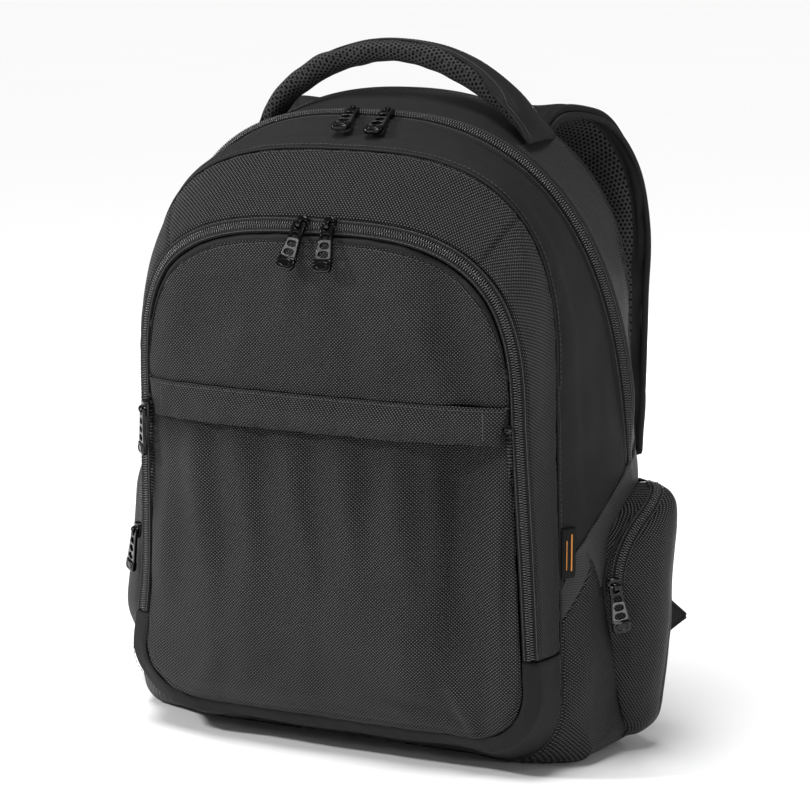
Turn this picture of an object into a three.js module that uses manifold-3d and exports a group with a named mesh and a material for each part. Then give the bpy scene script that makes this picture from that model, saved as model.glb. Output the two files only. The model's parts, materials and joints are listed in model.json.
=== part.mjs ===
// A laptop backpack standing on its base: sewn shells between shared seams, with pockets,
// zippers, a carrying handle and shoulder straps.
// Millimetres. X runs across the bag, Y from its front to its back, Z up from the floor.
import * as THREE from "three";
import { mergeVertices } from "three/addons/utils/BufferGeometryUtils.js";
import Module from "manifold-3d";

const wasm = await Module();
wasm.setup();

// Body sizes
const width = 355; // across the main zipper, the widest seam
const height = 450; // floor to the top of the back seam
const depth = 150; // twice the distance from the middle of the bag to the back seam
const cornerRadius = 50; // of the outline's lower corners
const cloth = 2; // wall of the sewn shells
const gap = 0.3; // clearance between pieces that touch
const backPad = 10; // thickness of the padded back panel
const backChamfer = 4; // how far its rear face is smaller than its rim
const bodyBulge = 2; // swell of the gussets between their seams
const baseHalfLength = 118; // half the length of the bottom panel

// Zippers, flap and front pocket
const mainTape = 14; // width of the main zipper with its facings
const frontTape = 11; // width of the front zipper
const frontTapeDrop = 5; // how far its outer edge lies behind its inner edge
const baseTop = 85; // where the smooth front base ends
const pocketBulge = 20; // swell of the pocket face past its rim
const flapSeam = 257; // height of the seam that the flap hangs from
const flapDrop = 25;
const flapLift = 0.5; // air between the flap and the pocket behind it
const flapZipWidth = 13;
const flapEndInset = 6; // the flap stops this far inside the pocket rim

// Side pockets
const sidePocketDepth = 32; // how far the pocket stands off the side
const sideTape = 10;

// Handle
const handleHalfSpan = 96;
const handleRise = 59; // centre line above its feet
const handleDrop = 32; // its centre line starts this far below the top of the back seam
const handleBack = 50; // centre line behind the middle of the bag
const gripThick = 13;
const gripWide = 23;
const handleArch = 2.15; // power of the arch's curve
const bandThick = 1.6;
const bandWide = 16;
const bandFootWide = 40;

// Straps
const strapWide = 62;
const strapThick = 12;
const strapEndWide = 50;
const webbingWide = 25;
const webbingThick = 1.8;
const buckleWide = 36;
const buckleTall = 26;
const buckleThick = 5;
const buckleBar = 5;
const tabThick = 3;
const tabTall = 31;
const tabTip = 6; // height of its blunt tip
const tabReach = 28; // how far the tab stands out of the back seam
const tabHeight = 86;
const strapChamfer = 3;
const webbingChamfer = 0.3;

// Label
const labelWide = 12;
const labelTall = 34;
const labelThick = 1;
const labelHeight = 153; // of its middle

// Zip sliders and pulls
const sliderLong = 12;
const sliderWide = 9;
const sliderThick = 2;
const sliderLift = 0.7; // under the slider, over the curve of the tape
const lugWide = 3;
const lugReach = 3.1; // outer radius of the lug round its eye
const eyeRadius = 1.85;
const pinRise = 1.9; // eye centre above the slider's top
const pullLong = 32;
const pullWide = 13;
const pullNeck = 9;
const pullThick = 2.4;
const pullRound = 4; // radius of the corners at the pull's free end
const pinBar = 2;
const pullHole = 2.5; // radius of each hole in the pull
const pullHoles = 3;

const halfWidth = width / 2;

// Seams round the body. half is the half width where the arch springs and low the one just above the
// lower corners, both shares of half the width; bottom, top and spring are shares of the height, and
// corner of the corner radius; arch is the power of the arch's curve; yLow and yTop are shares of the depth.
function seamRow(half, low, bottom, top, spring, corner, arch, yLow, yTop) {
  return { half, low, bottom, top, spring, corner, arch, yLow, yTop };
}
const seams = {
  back: seamRow(0.927, 1.03, 0, 1, 0.662, 0.7, 2.3, 0.5, 0.5),
  main: seamRow(1, 1.03, 0, 0.97, 0.42, 0.5, 2.7, 0.44, 0.03),
  side: seamRow(0.92, 0.965, 0, 0.947, 0.538, 0.3, 2.9, 0.03, -0.159),
  front: seamRow(0.858, 0.873, 0, 0.926, 0.588, 1, 3, -0.12, -0.24),
  pocket: seamRow(0.783, 0.823, 0.045, 0.82, 0.541, 0.85, 3.1, -0.32, -0.487),
};
const seamLean = 1.6; // power by which a seam leans from yLow to yTop as it rises

// Where each stretch of a seam ends, as a share of the way round from the bottom centre
const flatEnd = 0.09;
const cornerEnd = 0.17;
const sideEnd = 0.31;
const seamSteps = 52;

// Swell of the pocket face, over its height: rise and swell are shares of its height and of pocketBulge
const pocketSwell = [
  { rise: 0, swell: 0.1 },
  { rise: 0.06, swell: 0.55 },
  { rise: 0.2, swell: 0.92 },
  { rise: 0.36, swell: 1 },
  { rise: 0.52, swell: 0.86 },
  { rise: 0.66, swell: 0.66 },
  { rise: 0.84, swell: 0.45 },
  { rise: 0.95, swell: 0.22 },
  { rise: 1, swell: 0.05 },
];

// Front edge of a side pocket from its foot up to the top of its zipper: y is a share of half the depth,
// z of the height; swell is the share of sidePocketDepth that the pocket reaches on that row.
const sidePocketRows = [
  { y: 0.64, z: 0.018, backZ: 0.012, swell: 0.15 },
  { y: 0.53, z: 0.05, backZ: 0.05, swell: 0.4 },
  { y: 0.4, z: 0.11, backZ: 0.12, swell: 0.6 },
  { y: 0.29, z: 0.2, backZ: 0.215, swell: 0.82 },
  { y: 0.16, z: 0.285, backZ: 0.3, swell: 0.95 },
  { y: 0.23, z: 0.342, backZ: 0.352, swell: 1 },
  { y: 0.41, z: 0.38, backZ: 0.388, swell: 0.95 },
  { y: 0.63, z: 0.407, backZ: 0.409, swell: 0.7 },
  { y: 0.83, z: 0.418, backZ: 0.417, swell: 0.25 },
];
// Section of the pockets along a row: across is a share of the row, right and left how far each pocket
// stands out there as a share of that row's swell. The left one is fuller at its front.
const sidePocketSection = [
  { across: 0, right: 0, left: 0 },
  { across: 0.06, right: 0.25, left: 0.48 },
  { across: 0.14, right: 0.5, left: 0.66 },
  { across: 0.28, right: 0.78, left: 0.86 },
  { across: 0.45, right: 0.95, left: 0.96 },
  { across: 0.6, right: 1, left: 1 },
  { across: 0.78, right: 0.95, left: 0.95 },
  { across: 0.92, right: 0.7, left: 0.7 },
  { across: 1, right: 0, left: 0 },
];

// Upper edge of the wing panels, as shares of half the depth and of the height
const wingEdge = [
  { y: -0.8, z: 0.2 },
  { y: -0.33, z: 0.255 },
  { y: -0.15, z: 0.34 },
  { y: 0.24, z: 0.396 },
  { y: 0.63, z: 0.451 },
  { y: 1.13, z: 0.484 },
  { y: 1.8, z: 0.5 },
];

// Centre line of the right strap: x is a share of half the width, back is how far behind the back panel's
// rear face as a share of strapReach, z a share of the height, narrow a share from strapWide to strapEndWide.
const strapReach = 56;
const strapLine = [
  { x: 0.372, back: 0.03, z: 0.9, narrow: 0 },
  { x: 0.395, back: 0.07, z: 0.945, narrow: 0 },
  { x: 0.45, back: 0.34, z: 0.975, narrow: 0 },
  { x: 0.54, back: 0.72, z: 0.94, narrow: 0 },
  { x: 0.635, back: 0.92, z: 0.875, narrow: 0 },
  { x: 0.705, back: 1, z: 0.79, narrow: 0 },
  { x: 0.715, back: 0.84, z: 0.67, narrow: 0.2 },
  { x: 0.745, back: 0.56, z: 0.535, narrow: 0.6 },
  { x: 0.78, back: 0.36, z: 0.435, narrow: 1 },
];
// Centre line of the right webbing below its buckle, down to the tab
const webbingLine = [
  { x: 0.83, back: 0.22, z: 0.325 },
  { x: 0.88, back: 0.2, z: 0.27 },
  { x: 0.97, back: 0.17, z: 0.22 },
];

// Zip sliders: across is how far the slider stands from the middle, as a share of half the width, or from
// a side pocket's front edge, as a share of its row; hang is the way the pull hangs, and dip is in degrees
// how far its tip sinks from there towards the cloth.
const sliderStands = {
  main_left: { across: -0.045, hang: [0.12, -0.96, -0.22], dip: 6 },
  main_right: { across: 0.1, hang: [0.05, -0.95, -0.27], dip: 6 },
  front_left: { across: -0.055, hang: [-0.18, -0.38, -0.9], dip: 0 },
  front_right: { across: 0.06, hang: [0.04, -0.38, -0.92], dip: 0 },
  flap: { across: -0.995, hang: [-0.04, 0.04, -1], dip: 0 },
  side_right: { across: 0.055, hang: [0.16, 0.05, -0.98], dip: 0 },
  side_left: { across: 0.1, hang: [-0.16, 0.05, -0.98], dip: 0 },
};

// General helpers

const mix = (a, b, t) => a + (b - a) * t;

// A value from a table by straight steps between its rows
function lookup(table, from, to, at) {
  let i = 1;
  while (i < table.length - 1 && at > table[i][from]) i++;
  const lo = table[i - 1];
  const hi = table[i];
  const t = (at - lo[from]) / (hi[from] - lo[from]);
  return mix(lo[to], hi[to], THREE.MathUtils.clamp(t, 0, 1));
}

// Turns the faces round where they point inwards
function closedGeometry(points, faces) {
  let volume = 0;
  for (let f = 0; f < faces.length; f += 3) {
    const [a, b, c] = [0, 1, 2].map((n) => new THREE.Vector3().fromArray(points, 3 * faces[f + n]));
    volume += a.dot(b.cross(c));
  }
  if (volume < 0) faces.reverse();
  const geometry = new THREE.BufferGeometry();
  geometry.setAttribute("position", new THREE.Float32BufferAttribute(points, 3));
  geometry.setIndex(faces);
  return geometry;
}

// A cloth wall between an outer and an inner grid of points, both called as grid(column, row)
function sheet(outer, inner, columns, rows, ring = false) {
  const points = [];
  const faces = [];
  for (const grid of [outer, inner]) {
    for (let j = 0; j < rows; j++) {
      for (let i = 0; i < columns; i++) points.push(...grid(i, j));
    }
  }
  const spans = ring ? columns : columns - 1;
  const at = (layer, i, j) => (layer * rows + j) * columns + (i % columns);
  const quad = (a, b, c, d) => faces.push(a, b, c, a, c, d);
  for (let i = 0; i < spans; i++) {
    for (let j = 0; j < rows - 1; j++) {
      quad(at(0, i, j), at(0, i + 1, j), at(0, i + 1, j + 1), at(0, i, j + 1));
      quad(at(1, i, j), at(1, i, j + 1), at(1, i + 1, j + 1), at(1, i + 1, j));
    }
    quad(at(0, i + 1, 0), at(0, i, 0), at(1, i, 0), at(1, i + 1, 0));
    quad(at(0, i, rows - 1), at(0, i + 1, rows - 1), at(1, i + 1, rows - 1), at(1, i, rows - 1));
  }
  if (!ring) {
    for (let j = 0; j < rows - 1; j++) {
      quad(at(0, 0, j), at(0, 0, j + 1), at(1, 0, j + 1), at(1, 0, j));
      const last = columns - 1;
      quad(at(0, last, j + 1), at(0, last, j), at(1, last, j), at(1, last, j + 1));
    }
  }
  return closedGeometry(points, faces);
}

// A solid through a row of closed sections with the same number of points each
function loft(sections) {
  const count = sections[0].length;
  const points = sections.flat(2);
  const faces = [];
  const at = (s, i) => s * count + (i % count);
  for (let s = 0; s < sections.length - 1; s++) {
    for (let i = 0; i < count; i++) {
      faces.push(at(s, i), at(s, i + 1), at(s + 1, i + 1), at(s, i), at(s + 1, i + 1), at(s + 1, i));
    }
  }
  for (let i = 1; i < count - 1; i++) {
    const last = sections.length - 1;
    faces.push(at(0, 0), at(0, i + 1), at(0, i), at(last, 0), at(last, i), at(last, i + 1));
  }
  return closedGeometry(points, faces);
}

function toSolid(geometry) {
  const bare = geometry.clone();
  bare.deleteAttribute("normal");
  bare.deleteAttribute("uv");
  const merged = mergeVertices(bare, 1e-4);
  return new wasm.Manifold(
    new wasm.Mesh({
      numProp: 3,
      vertProperties: merged.attributes.position.array,
      triVerts: new Uint32Array(merged.index.array),
    }),
  );
}

function toGeometry(solid) {
  const mesh = solid.getMesh();
  const geometry = new THREE.BufferGeometry();
  geometry.setAttribute("position", new THREE.BufferAttribute(mesh.vertProperties, 3));
  geometry.setIndex(new THREE.BufferAttribute(mesh.triVerts, 1));
  return geometry;
}

// A prism along X over an outline of [y, z] points
function prismAlongX(outline, from, to) {
  const shape = new THREE.Shape(outline.map(([y, z]) => new THREE.Vector2(y, z)));
  const geometry = new THREE.ExtrudeGeometry(shape, { depth: to - from, bevelEnabled: false });
  const turn = new THREE.Matrix4().set(0, 0, 1, from, 1, 0, 0, 0, 0, 1, 0, 0, 0, 0, 0, 1);
  return toSolid(geometry.applyMatrix4(turn));
}

function box(low, high) {
  const size = high.map((h, n) => h - low[n]);
  const middle = high.map((h, n) => (h + low[n]) / 2);
  return toSolid(new THREE.BoxGeometry(...size).translate(...middle));
}

// Larger than the bag on every side, for cuts that go right through
const beyond = 2 * (width + height + depth);

// Seams and the shells between them

function seamDepth(seam, rise) {
  return depth * mix(seam.yLow, seam.yTop, THREE.MathUtils.clamp(rise, 0, 1) ** seamLean);
}

// A point on a seam, where way runs from 0 at the bottom centre by the right side to 1
function seamPoint(seam, way, inset = 0, push = 0) {
  const side = way > 0.5 ? -1 : 1;
  const u = way > 0.5 ? 1 - way : way;
  const half = seam.half * halfWidth - inset;
  const low = seam.low * halfWidth - inset;
  const bottom = seam.bottom * height + inset;
  const top = seam.top * height - inset;
  const spring = seam.spring * height;
  const r = seam.corner * cornerRadius - inset;
  let x;
  let z;
  if (u < flatEnd) {
    x = ((low - r) * u) / flatEnd;
    z = bottom;
  } else if (u < cornerEnd) {
    const a = ((u - flatEnd) / (cornerEnd - flatEnd)) * (Math.PI / 2);
    x = low - r + r * Math.sin(a);
    z = bottom + r - r * Math.cos(a);
  } else if (u < sideEnd) {
    const t = (u - cornerEnd) / (sideEnd - cornerEnd);
    x = mix(low, half, t);
    z = mix(bottom + r, spring, t);
  } else {
    const a = ((u - sideEnd) / (0.5 - sideEnd)) * (Math.PI / 2);
    x = half * Math.max(Math.cos(a), 0) ** (2 / seam.arch);
    z = spring + (top - spring) * Math.sin(a) ** (2 / seam.arch);
  }
  const y = seamDepth(seam, (z - bottom) / (top - bottom)) + push;
  return new THREE.Vector3(side * x, y, z);
}

// Half the width that a seam encloses at a height, on the same chords as the shells
function seamHalf(seam, z, inset = 0) {
  let below = seamPoint(seam, 0, inset);
  for (let i = 1; i <= seamSteps / 2; i++) {
    const above = seamPoint(seam, i / seamSteps, inset);
    if (above.z > below.z && above.z >= z) {
      const t = THREE.MathUtils.clamp((z - below.z) / (above.z - below.z), 0, 1);
      return mix(below.x, above.x, t);
    }
    below = above;
  }
  return 0;
}

function seamDepthAt(seam, z) {
  const bottom = seam.bottom * height;
  return seamDepth(seam, (z - bottom) / (seam.top * height - bottom));
}

// Outward direction of a seam in the XZ plane; the swell fades where it faces the floor
function seamOut(seam, way) {
  const step = 0.004;
  const t = seamPoint(seam, way + step).sub(seamPoint(seam, way - step));
  return new THREE.Vector3(t.z, 0, -t.x).normalize();
}

// A seam of the body as an edge of shells: inset and push move it, wall and back say which way its
// inner side lies from its outer side, as shares of the cloth.
const edges = {
  back: { seam: seams.back, inset: 0, push: 0, wall: 1, back: 0 },
  main: { seam: seams.main, inset: 0, push: 0, wall: 1, back: 0 },
  side: { seam: seams.side, inset: 0, push: 0, wall: 1, back: 0 },
  front: { seam: seams.front, inset: 0, push: 0, wall: 1, back: 0 },
  tapeOuter: { seam: seams.pocket, inset: -frontTape / 2, push: frontTapeDrop / 2, wall: 0.7, back: 0.7 },
  tapeInner: { seam: seams.pocket, inset: frontTape / 2, push: -frontTapeDrop / 2, wall: 0, back: 1 },
};

function edgePoint(edge, way, layer) {
  const deep = layer * cloth;
  return seamPoint(edge.seam, way, edge.inset + edge.wall * deep, edge.push + edge.back * deep);
}

// A point between two edges: share of the way across what lies between the trims at both edges
function between(a, b, way, share, layer, trimA, trimB, swell) {
  const start = edgePoint(a, way, layer);
  const end = edgePoint(b, way, layer);
  const across = start.distanceTo(end);
  const t = (trimA + (across - trimA - trimB) * share) / across;
  const out = seamOut(b.seam, way);
  const lift = swell * 4 * t * (1 - t) * Math.min(1, 1 + out.z);
  return start.lerp(end, t).addScaledVector(out, lift);
}

// A ring of cloth through spans, each between two edges with its own rows
function ringShell(spans) {
  const stops = [];
  spans.forEach((span, s) => {
    for (let j = s === 0 ? 0 : 1; j <= span.rows; j++) stops.push({ span, share: j / span.rows });
  });
  const grid = (layer) => (i, j) => {
    const { span, share } = stops[j];
    const { from, to, trimFrom = 0, trimTo = 0, swell = 0 } = span;
    return between(from, to, i / seamSteps, share, layer, trimFrom, trimTo, swell).toArray();
  };
  return toSolid(sheet(grid(0), grid(1), seamSteps, stops.length, true));
}

// The wing's side of its upper edge, as a prism right across the bag, lifted by lift
function belowWingEdge(lift) {
  const line = wingEdge.map(({ y, z }) => [(y * depth) / 2, z * height + lift]);
  const foot = [
    [line[line.length - 1][0], -beyond],
    [line[0][0], -beyond],
  ];
  return prismAlongX([...line, ...foot], -beyond, beyond);
}

// The body's outer form with no hollow, grown by a clearance, for trimming what seats on it
const fillSteps = 10;

function bodyFill(grow) {
  const around = (pointAt) =>
    Array.from({ length: seamSteps }, (_, i) => pointAt(i / seamSteps).toArray());
  const sections = [];
  const spans = [
    [edges.front, edges.side],
    [edges.side, edges.main],
    [edges.main, edges.back],
  ];
  for (const [from, to] of spans) {
    for (let n = 0; n < fillSteps; n++) {
      const onBody = (way) => between(from, to, way, n / fillSteps, 0, 0, 0, bodyBulge);
      sections.push(around((way) => onBody(way).addScaledVector(seamOut(to.seam, way), grow)));
    }
  }
  const rear = backPad + 2 * gap;
  sections.push(around((way) => seamPoint(seams.back, way, -grow)));
  sections.push(around((way) => seamPoint(seams.back, way, -grow, rear)));
  return toSolid(loft(sections));
}

// Half of the main tape, as it lies on either side of the main seam
const halfTape = mainTape / 2;

function makeGussets() {
  const swell = bodyBulge;
  const clear = gap / 2;
  const away = belowWingEdge(gap);
  return {
    front_gusset: ringShell([
      { from: edges.front, to: edges.side, rows: 1, trimFrom: clear, swell },
      { from: edges.side, to: edges.main, rows: 3, trimTo: halfTape + clear, swell },
    ]).subtract(away),
    main_zipper: mainZipper().subtract(away),
    rear_gusset: ringShell([
      { from: edges.main, to: edges.back, rows: 3, trimFrom: halfTape + clear, trimTo: clear, swell },
    ]).subtract(away),
  };
}

// The main tape bends at the main seam, so it takes a narrow strip on each side of it
function mainZipper() {
  const half = halfTape - gap / 2;
  const strip = (layer) => (i, j) => {
    const way = i / seamSteps;
    const behind = edgePoint(edges.main, way, layer).distanceTo(edgePoint(edges.back, way, layer));
    const ahead = between(edges.side, edges.main, way, 1, layer, 0, half, bodyBulge);
    const seam = edgePoint(edges.main, way, layer);
    const past = between(edges.main, edges.back, way, 0, layer, Math.min(half, behind / 2), 0, bodyBulge);
    return [ahead, seam, past][j].toArray();
  };
  return toSolid(sheet(strip(0), strip(1), seamSteps, 3, true));
}

function makeLowerBody() {
  const shell = ringShell([
    { from: edges.front, to: edges.side, rows: 2, trimFrom: gap / 2, swell: bodyBulge },
    { from: edges.side, to: edges.main, rows: 3, swell: bodyBulge },
    { from: edges.main, to: edges.back, rows: 2, trimTo: gap / 2, swell: bodyBulge },
  ]).intersect(belowWingEdge(0));
  const middle = box([-baseHalfLength, -beyond, -beyond], [baseHalfLength, beyond, cornerRadius]);
  const right = box([baseHalfLength + gap, -beyond, -beyond], [beyond, beyond, beyond]);
  const left = box([-beyond, -beyond, -beyond], [-baseHalfLength - gap, beyond, beyond]);
  return {
    bottom_panel: shell.intersect(middle),
    wing_right: shell.intersect(right),
    wing_left: shell.intersect(left),
  };
}

function makeFront() {
  const clear = gap / 2;
  const band = ringShell([
    { from: edges.front, to: edges.tapeOuter, rows: 3, trimFrom: clear, trimTo: clear, swell: bodyBulge },
  ]);
  const tape = ringShell([{ from: edges.tapeOuter, to: edges.tapeInner, rows: 1, trimFrom: clear }]);
  const base = ringShell([
    { from: edges.front, to: edges.tapeOuter, rows: 3, trimFrom: clear, swell: bodyBulge },
    { from: edges.tapeOuter, to: edges.tapeInner, rows: 1 },
  ]);
  const above = box([-beyond, -beyond, baseTop + gap], [beyond, beyond, beyond]);
  const below = box([-beyond, -beyond, -beyond], [beyond, beyond, baseTop]);
  return {
    front_band: band.intersect(above),
    front_zipper: tape.intersect(above),
    front_base: base.intersect(below),
  };
}

// Front face of the pocket

const rimInset = frontTape / 2 + gap;
const rimBottom = seams.pocket.bottom * height + rimInset;
const rimTop = seams.pocket.top * height - rimInset;

// The face falls to its rim at both sides as (1 - across^round)^fall
const pocketRound = 3.2;
const pocketFall = 0.8;
const pocketColumns = 13;

function pocketDepth(across, z) {
  const rise = (z - rimBottom) / (rimTop - rimBottom);
  const swell = pocketBulge * lookup(pocketSwell, "rise", "swell", rise);
  const fall = (1 - Math.abs(across) ** pocketRound) ** pocketFall;
  return seamDepthAt(seams.pocket, z) - frontTapeDrop / 2 - swell * fall;
}

// A stretch of the pocket face between two heights; lift brings it forward of the face behind it, and the
// eases crowd its rows towards both ends or towards the upper one.
function pocketSheet(low, high, rows, { lift = 0, endInset = 0, bothEase = 0, highEase = 0 }) {
  const heightAt = (j) => {
    const t = j / (rows - 1);
    const eased = t - (bothEase * Math.sin(2 * Math.PI * t)) / (2 * Math.PI);
    return mix(low, high, 1 - (1 - eased) ** (1 + highEase));
  };
  const grid = (push) => (i, j) => {
    const z = heightAt(j);
    const across = mix(-1, 1, i / (pocketColumns - 1));
    const half = seamHalf(seams.pocket, z, rimInset);
    const x = across * (half - endInset);
    return [x, pocketDepth(x / half, z) - lift + push, z];
  };
  return sheet(grid(0), grid(cloth), pocketColumns, rows);
}

function makePocketFace() {
  const zipTop = flapSeam - gap;
  const zipLow = flapSeam - flapZipWidth;
  const overPocket = { lift: cloth + flapLift, endInset: flapEndInset };
  return {
    pocket_upper: pocketSheet(flapSeam, rimTop - gap, 9, { highEase: 0.9 }),
    pocket_flap: pocketSheet(flapSeam - flapDrop, flapSeam - gap, 3, overPocket),
    flap_zipper: pocketSheet(zipLow, zipTop, 2, {}),
    pocket_lower: pocketSheet(rimBottom, zipLow - gap, 14, { bothEase: 0.6 }),
  };
}

// Panels inside and behind the body

// A slab over a seam's outline between two depths given for each height, its rear face smaller by chamfer
function seamSlab(seam, inset, columns, rows, nearDepth, farDepth, chamfer) {
  const bottom = seam.bottom * height;
  const top = seam.top * height;
  const grid = (less, depthAt) => (i, j) => {
    const t = (1 - Math.cos((Math.PI * j) / (rows - 1))) / 2;
    const z = mix(bottom + less, top - less - gap, t);
    const x = mix(-1, 1, i / (columns - 1)) * seamHalf(seam, z, less);
    return [x, depthAt(z), z];
  };
  return sheet(grid(inset, nearDepth), grid(inset + chamfer, farDepth), columns, rows);
}

function makePanels() {
  const backDepth = depth * seams.back.yLow;
  const divider = seamSlab(
    seams.front,
    cloth + gap,
    9,
    16,
    (z) => seamDepthAt(seams.front, z),
    (z) => seamDepthAt(seams.front, z) + cloth,
    0,
  );
  const panel = seamSlab(
    seams.back,
    0,
    5,
    18,
    () => backDepth + gap,
    () => backDepth + gap + backPad,
    backChamfer,
  );
  return { pocket_divider: divider, back_panel: panel };
}

// Side pockets

// The body's half width at a depth and height on its side
function sideHalf(y, z) {
  const stops = [seams.front, seams.side, seams.main, seams.back].map((seam) => ({
    y: seamDepthAt(seam, z),
    x: seamHalf(seam, z),
  }));
  let next = 1;
  while (next < stops.length - 1 && y > stops[next].y) next++;
  const near = stops[next - 1];
  const far = stops[next];
  const t = THREE.MathUtils.clamp((y - near.y) / (far.y - near.y), 0, 1);
  return mix(near.x, far.x, t) + bodyBulge * 4 * t * (1 - t);
}

const sidePocketBack = depth * seams.back.yLow - gap;

function sidePocketShell(side) {
  const rows = sidePocketRows;
  const grid = (deep) => (i, j) => {
    const { across, [side]: out } = sidePocketSection[i];
    const row = rows[j];
    const inward = deep * (1 - 2 * across);
    const y = mix((row.y * depth) / 2, sidePocketBack, across) + inward;
    const end = j === 0 ? deep : j === rows.length - 1 ? -deep : 0;
    const z = mix(row.z, row.backZ, across) * height + end;
    const swell = Math.max(out * row.swell * sidePocketDepth - deep, 0);
    return [sideHalf(y, z) - cloth / 2 + swell, y, z];
  };
  return toSolid(sheet(grid(0), grid(cloth), sidePocketSection.length, rows.length));
}

// The zipper lies along the upper front edge of the pocket
function sideZipperBand(grow) {
  const [low, high] = [sidePocketRows[4], sidePocketRows[7]];
  const from = new THREE.Vector2((low.y * depth) / 2, low.z * height);
  const to = new THREE.Vector2((high.y * depth) / 2, high.z * height);
  const along = to.clone().sub(from).normalize();
  const inward = new THREE.Vector2(along.y, -along.x);
  const corner = (start, ahead, aside) =>
    start.clone().addScaledVector(along, ahead).addScaledVector(inward, aside).toArray();
  const near = cloth - grow;
  const far = cloth + sideTape + grow;
  const reach = cloth + grow;
  return prismAlongX(
    [corner(from, -reach, near), corner(from, -reach, far), corner(to, reach, far), corner(to, reach, near)],
    0,
    beyond,
  );
}

const mirrored = (solid) => solid.mirror([1, 0, 0]);

function makeSidePockets(fill) {
  const pieces = {};
  for (const side of ["right", "left"]) {
    const turned = side === "left" ? mirrored : (solid) => solid;
    const shell = sidePocketShell(side).subtract(fill);
    pieces["side_pocket_" + side] = turned(largest(shell.subtract(sideZipperBand(gap))));
    pieces["side_zipper_" + side] = turned(largest(shell.intersect(sideZipperBand(0))));
  }
  return pieces;
}

// The largest body of a cut solid
function largest(solid) {
  return solid.decompose().sort((a, b) => b.volume() - a.volume())[0];
}

// Handle

// Sections of a strip that follows the handle's arch at a distance from its centre line
function archSections(distance, sectionAt) {
  const power = 2 / handleArch;
  const steps = 18;
  const sections = [];
  const arch = (a) => {
    const s = Math.sin(a);
    const c = Math.max(Math.cos(a), 0);
    return new THREE.Vector2(
      Math.sign(s) * Math.abs(s) ** power * handleHalfSpan,
      height - handleDrop + c ** power * handleRise,
    );
  };
  for (let n = 0; n <= steps; n++) {
    const a = mix(-Math.PI / 2, Math.PI / 2, n / steps);
    const at = arch(a);
    const step = 0.01;
    const behind = arch(Math.max(a - step, -Math.PI / 2));
    const along = arch(Math.min(a + step, Math.PI / 2)).sub(behind).normalize();
    const out = new THREE.Vector2(-along.y, along.x);
    sections.push(
      sectionAt(n / steps).map(([aside, up]) => [
        at.x + out.x * (up + distance),
        handleBack + aside,
        at.y + out.y * (up + distance),
      ]),
    );
  }
  return sections;
}

function makeHandle(fill) {
  const sides = 10;
  const round = Array.from({ length: sides }, (_, i) => {
    const a = (2 * Math.PI * i) / sides;
    return [(Math.cos(a) * gripWide) / 2, (Math.sin(a) * gripThick) / 2];
  });
  const grip = toSolid(loft(archSections(0, () => round)));
  const flat = (t) => {
    const foot = Math.abs(2 * t - 1) ** 6;
    const half = mix(bandWide, bandFootWide, foot) / 2;
    return [
      [-half, -bandThick / 2],
      [half, -bandThick / 2],
      [half, bandThick / 2],
      [-half, bandThick / 2],
    ];
  };
  const band = toSolid(loft(archSections((gripThick + bandThick) / 2 + gap, flat)));
  return { handle_grip: largest(grip.subtract(fill)), handle_band: largest(band.subtract(fill)) };
}

// Straps

const rearFace = depth * seams.back.yLow + gap + backPad;

function linePoints(line, lift) {
  return line.map(
    ({ x, back, z }) => new THREE.Vector3(x * halfWidth, rearFace + lift + back * strapReach, z * height),
  );
}

// A flat strip along a curve, its width lying across the bag
function strip(curve, steps, wideAt, thick, chamfer) {
  const sections = [];
  for (let n = 0; n <= steps; n++) {
    const t = n / steps;
    const at = curve.getPoint(t);
    const along = curve.getTangent(t);
    const aside = new THREE.Vector3(1, 0, 0).addScaledVector(along, -along.x).normalize();
    const up = new THREE.Vector3().crossVectors(along, aside);
    const half = wideAt(t) / 2;
    const flat = half - chamfer;
    const outline = [
      [half, thick / 2 - chamfer],
      [flat, thick / 2],
      [-flat, thick / 2],
      [-half, thick / 2 - chamfer],
      [-half, -thick / 2 + chamfer],
      [-flat, -thick / 2],
      [flat, -thick / 2],
      [half, -thick / 2 + chamfer],
    ];
    sections.push(
      outline.map(([a, b]) => at.clone().addScaledVector(aside, a).addScaledVector(up, b).toArray()),
    );
  }
  return loft(sections);
}

function makeStraps() {
  const strapLift = strapThick / 2 + gap;
  const strapCurve = new THREE.CatmullRomCurve3(linePoints(strapLine, strapLift));
  const below = (far) => strapCurve.getPoint(1).addScaledVector(strapCurve.getTangent(1), far);
  const belowBuckle = buckleTall + 2 * gap;
  const webbingCurve = new THREE.CatmullRomCurve3([
    below(belowBuckle),
    below(belowBuckle + buckleBar),
    ...linePoints(webbingLine, strapLift),
  ]);
  const narrowAt = (t) => lookup(
    strapLine.map((row, i) => ({ t: i / (strapLine.length - 1), narrow: row.narrow })),
    "t",
    "narrow",
    t,
  );
  const strapWideAt = (t) => mix(strapWide, strapEndWide, narrowAt(t));
  return {
    strap: toSolid(strip(strapCurve, 16, strapWideAt, strapThick, strapChamfer)),
    webbing: toSolid(strip(webbingCurve, 8, () => webbingWide, webbingThick, webbingChamfer)),
    buckle: makeBuckle(strapCurve),
    tab: makeTab(),
  };
}

// A plain ladder buckle that hangs from the strap's end: a frame with two slots
function makeBuckle(curve) {
  const half = buckleWide / 2;
  const thick = buckleThick / 2;
  const slotHalf = half - buckleBar;
  const slotTall = (buckleTall - 3 * buckleBar) / 2;
  let frame = box([-half, gap, -thick], [half, gap + buckleTall, thick]);
  for (const start of [gap + buckleBar, gap + 2 * buckleBar + slotTall]) {
    frame = frame.subtract(box([-slotHalf, start, -beyond], [slotHalf, start + slotTall, beyond]));
  }
  const down = curve.getTangent(1);
  const aside = new THREE.Vector3(1, 0, 0).addScaledVector(down, -down.x).normalize();
  const out = new THREE.Vector3().crossVectors(aside, down);
  const place = new THREE.Matrix4().makeBasis(aside, down, out).setPosition(curve.getPoint(1));
  return frame.transform(place.elements);
}

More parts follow.
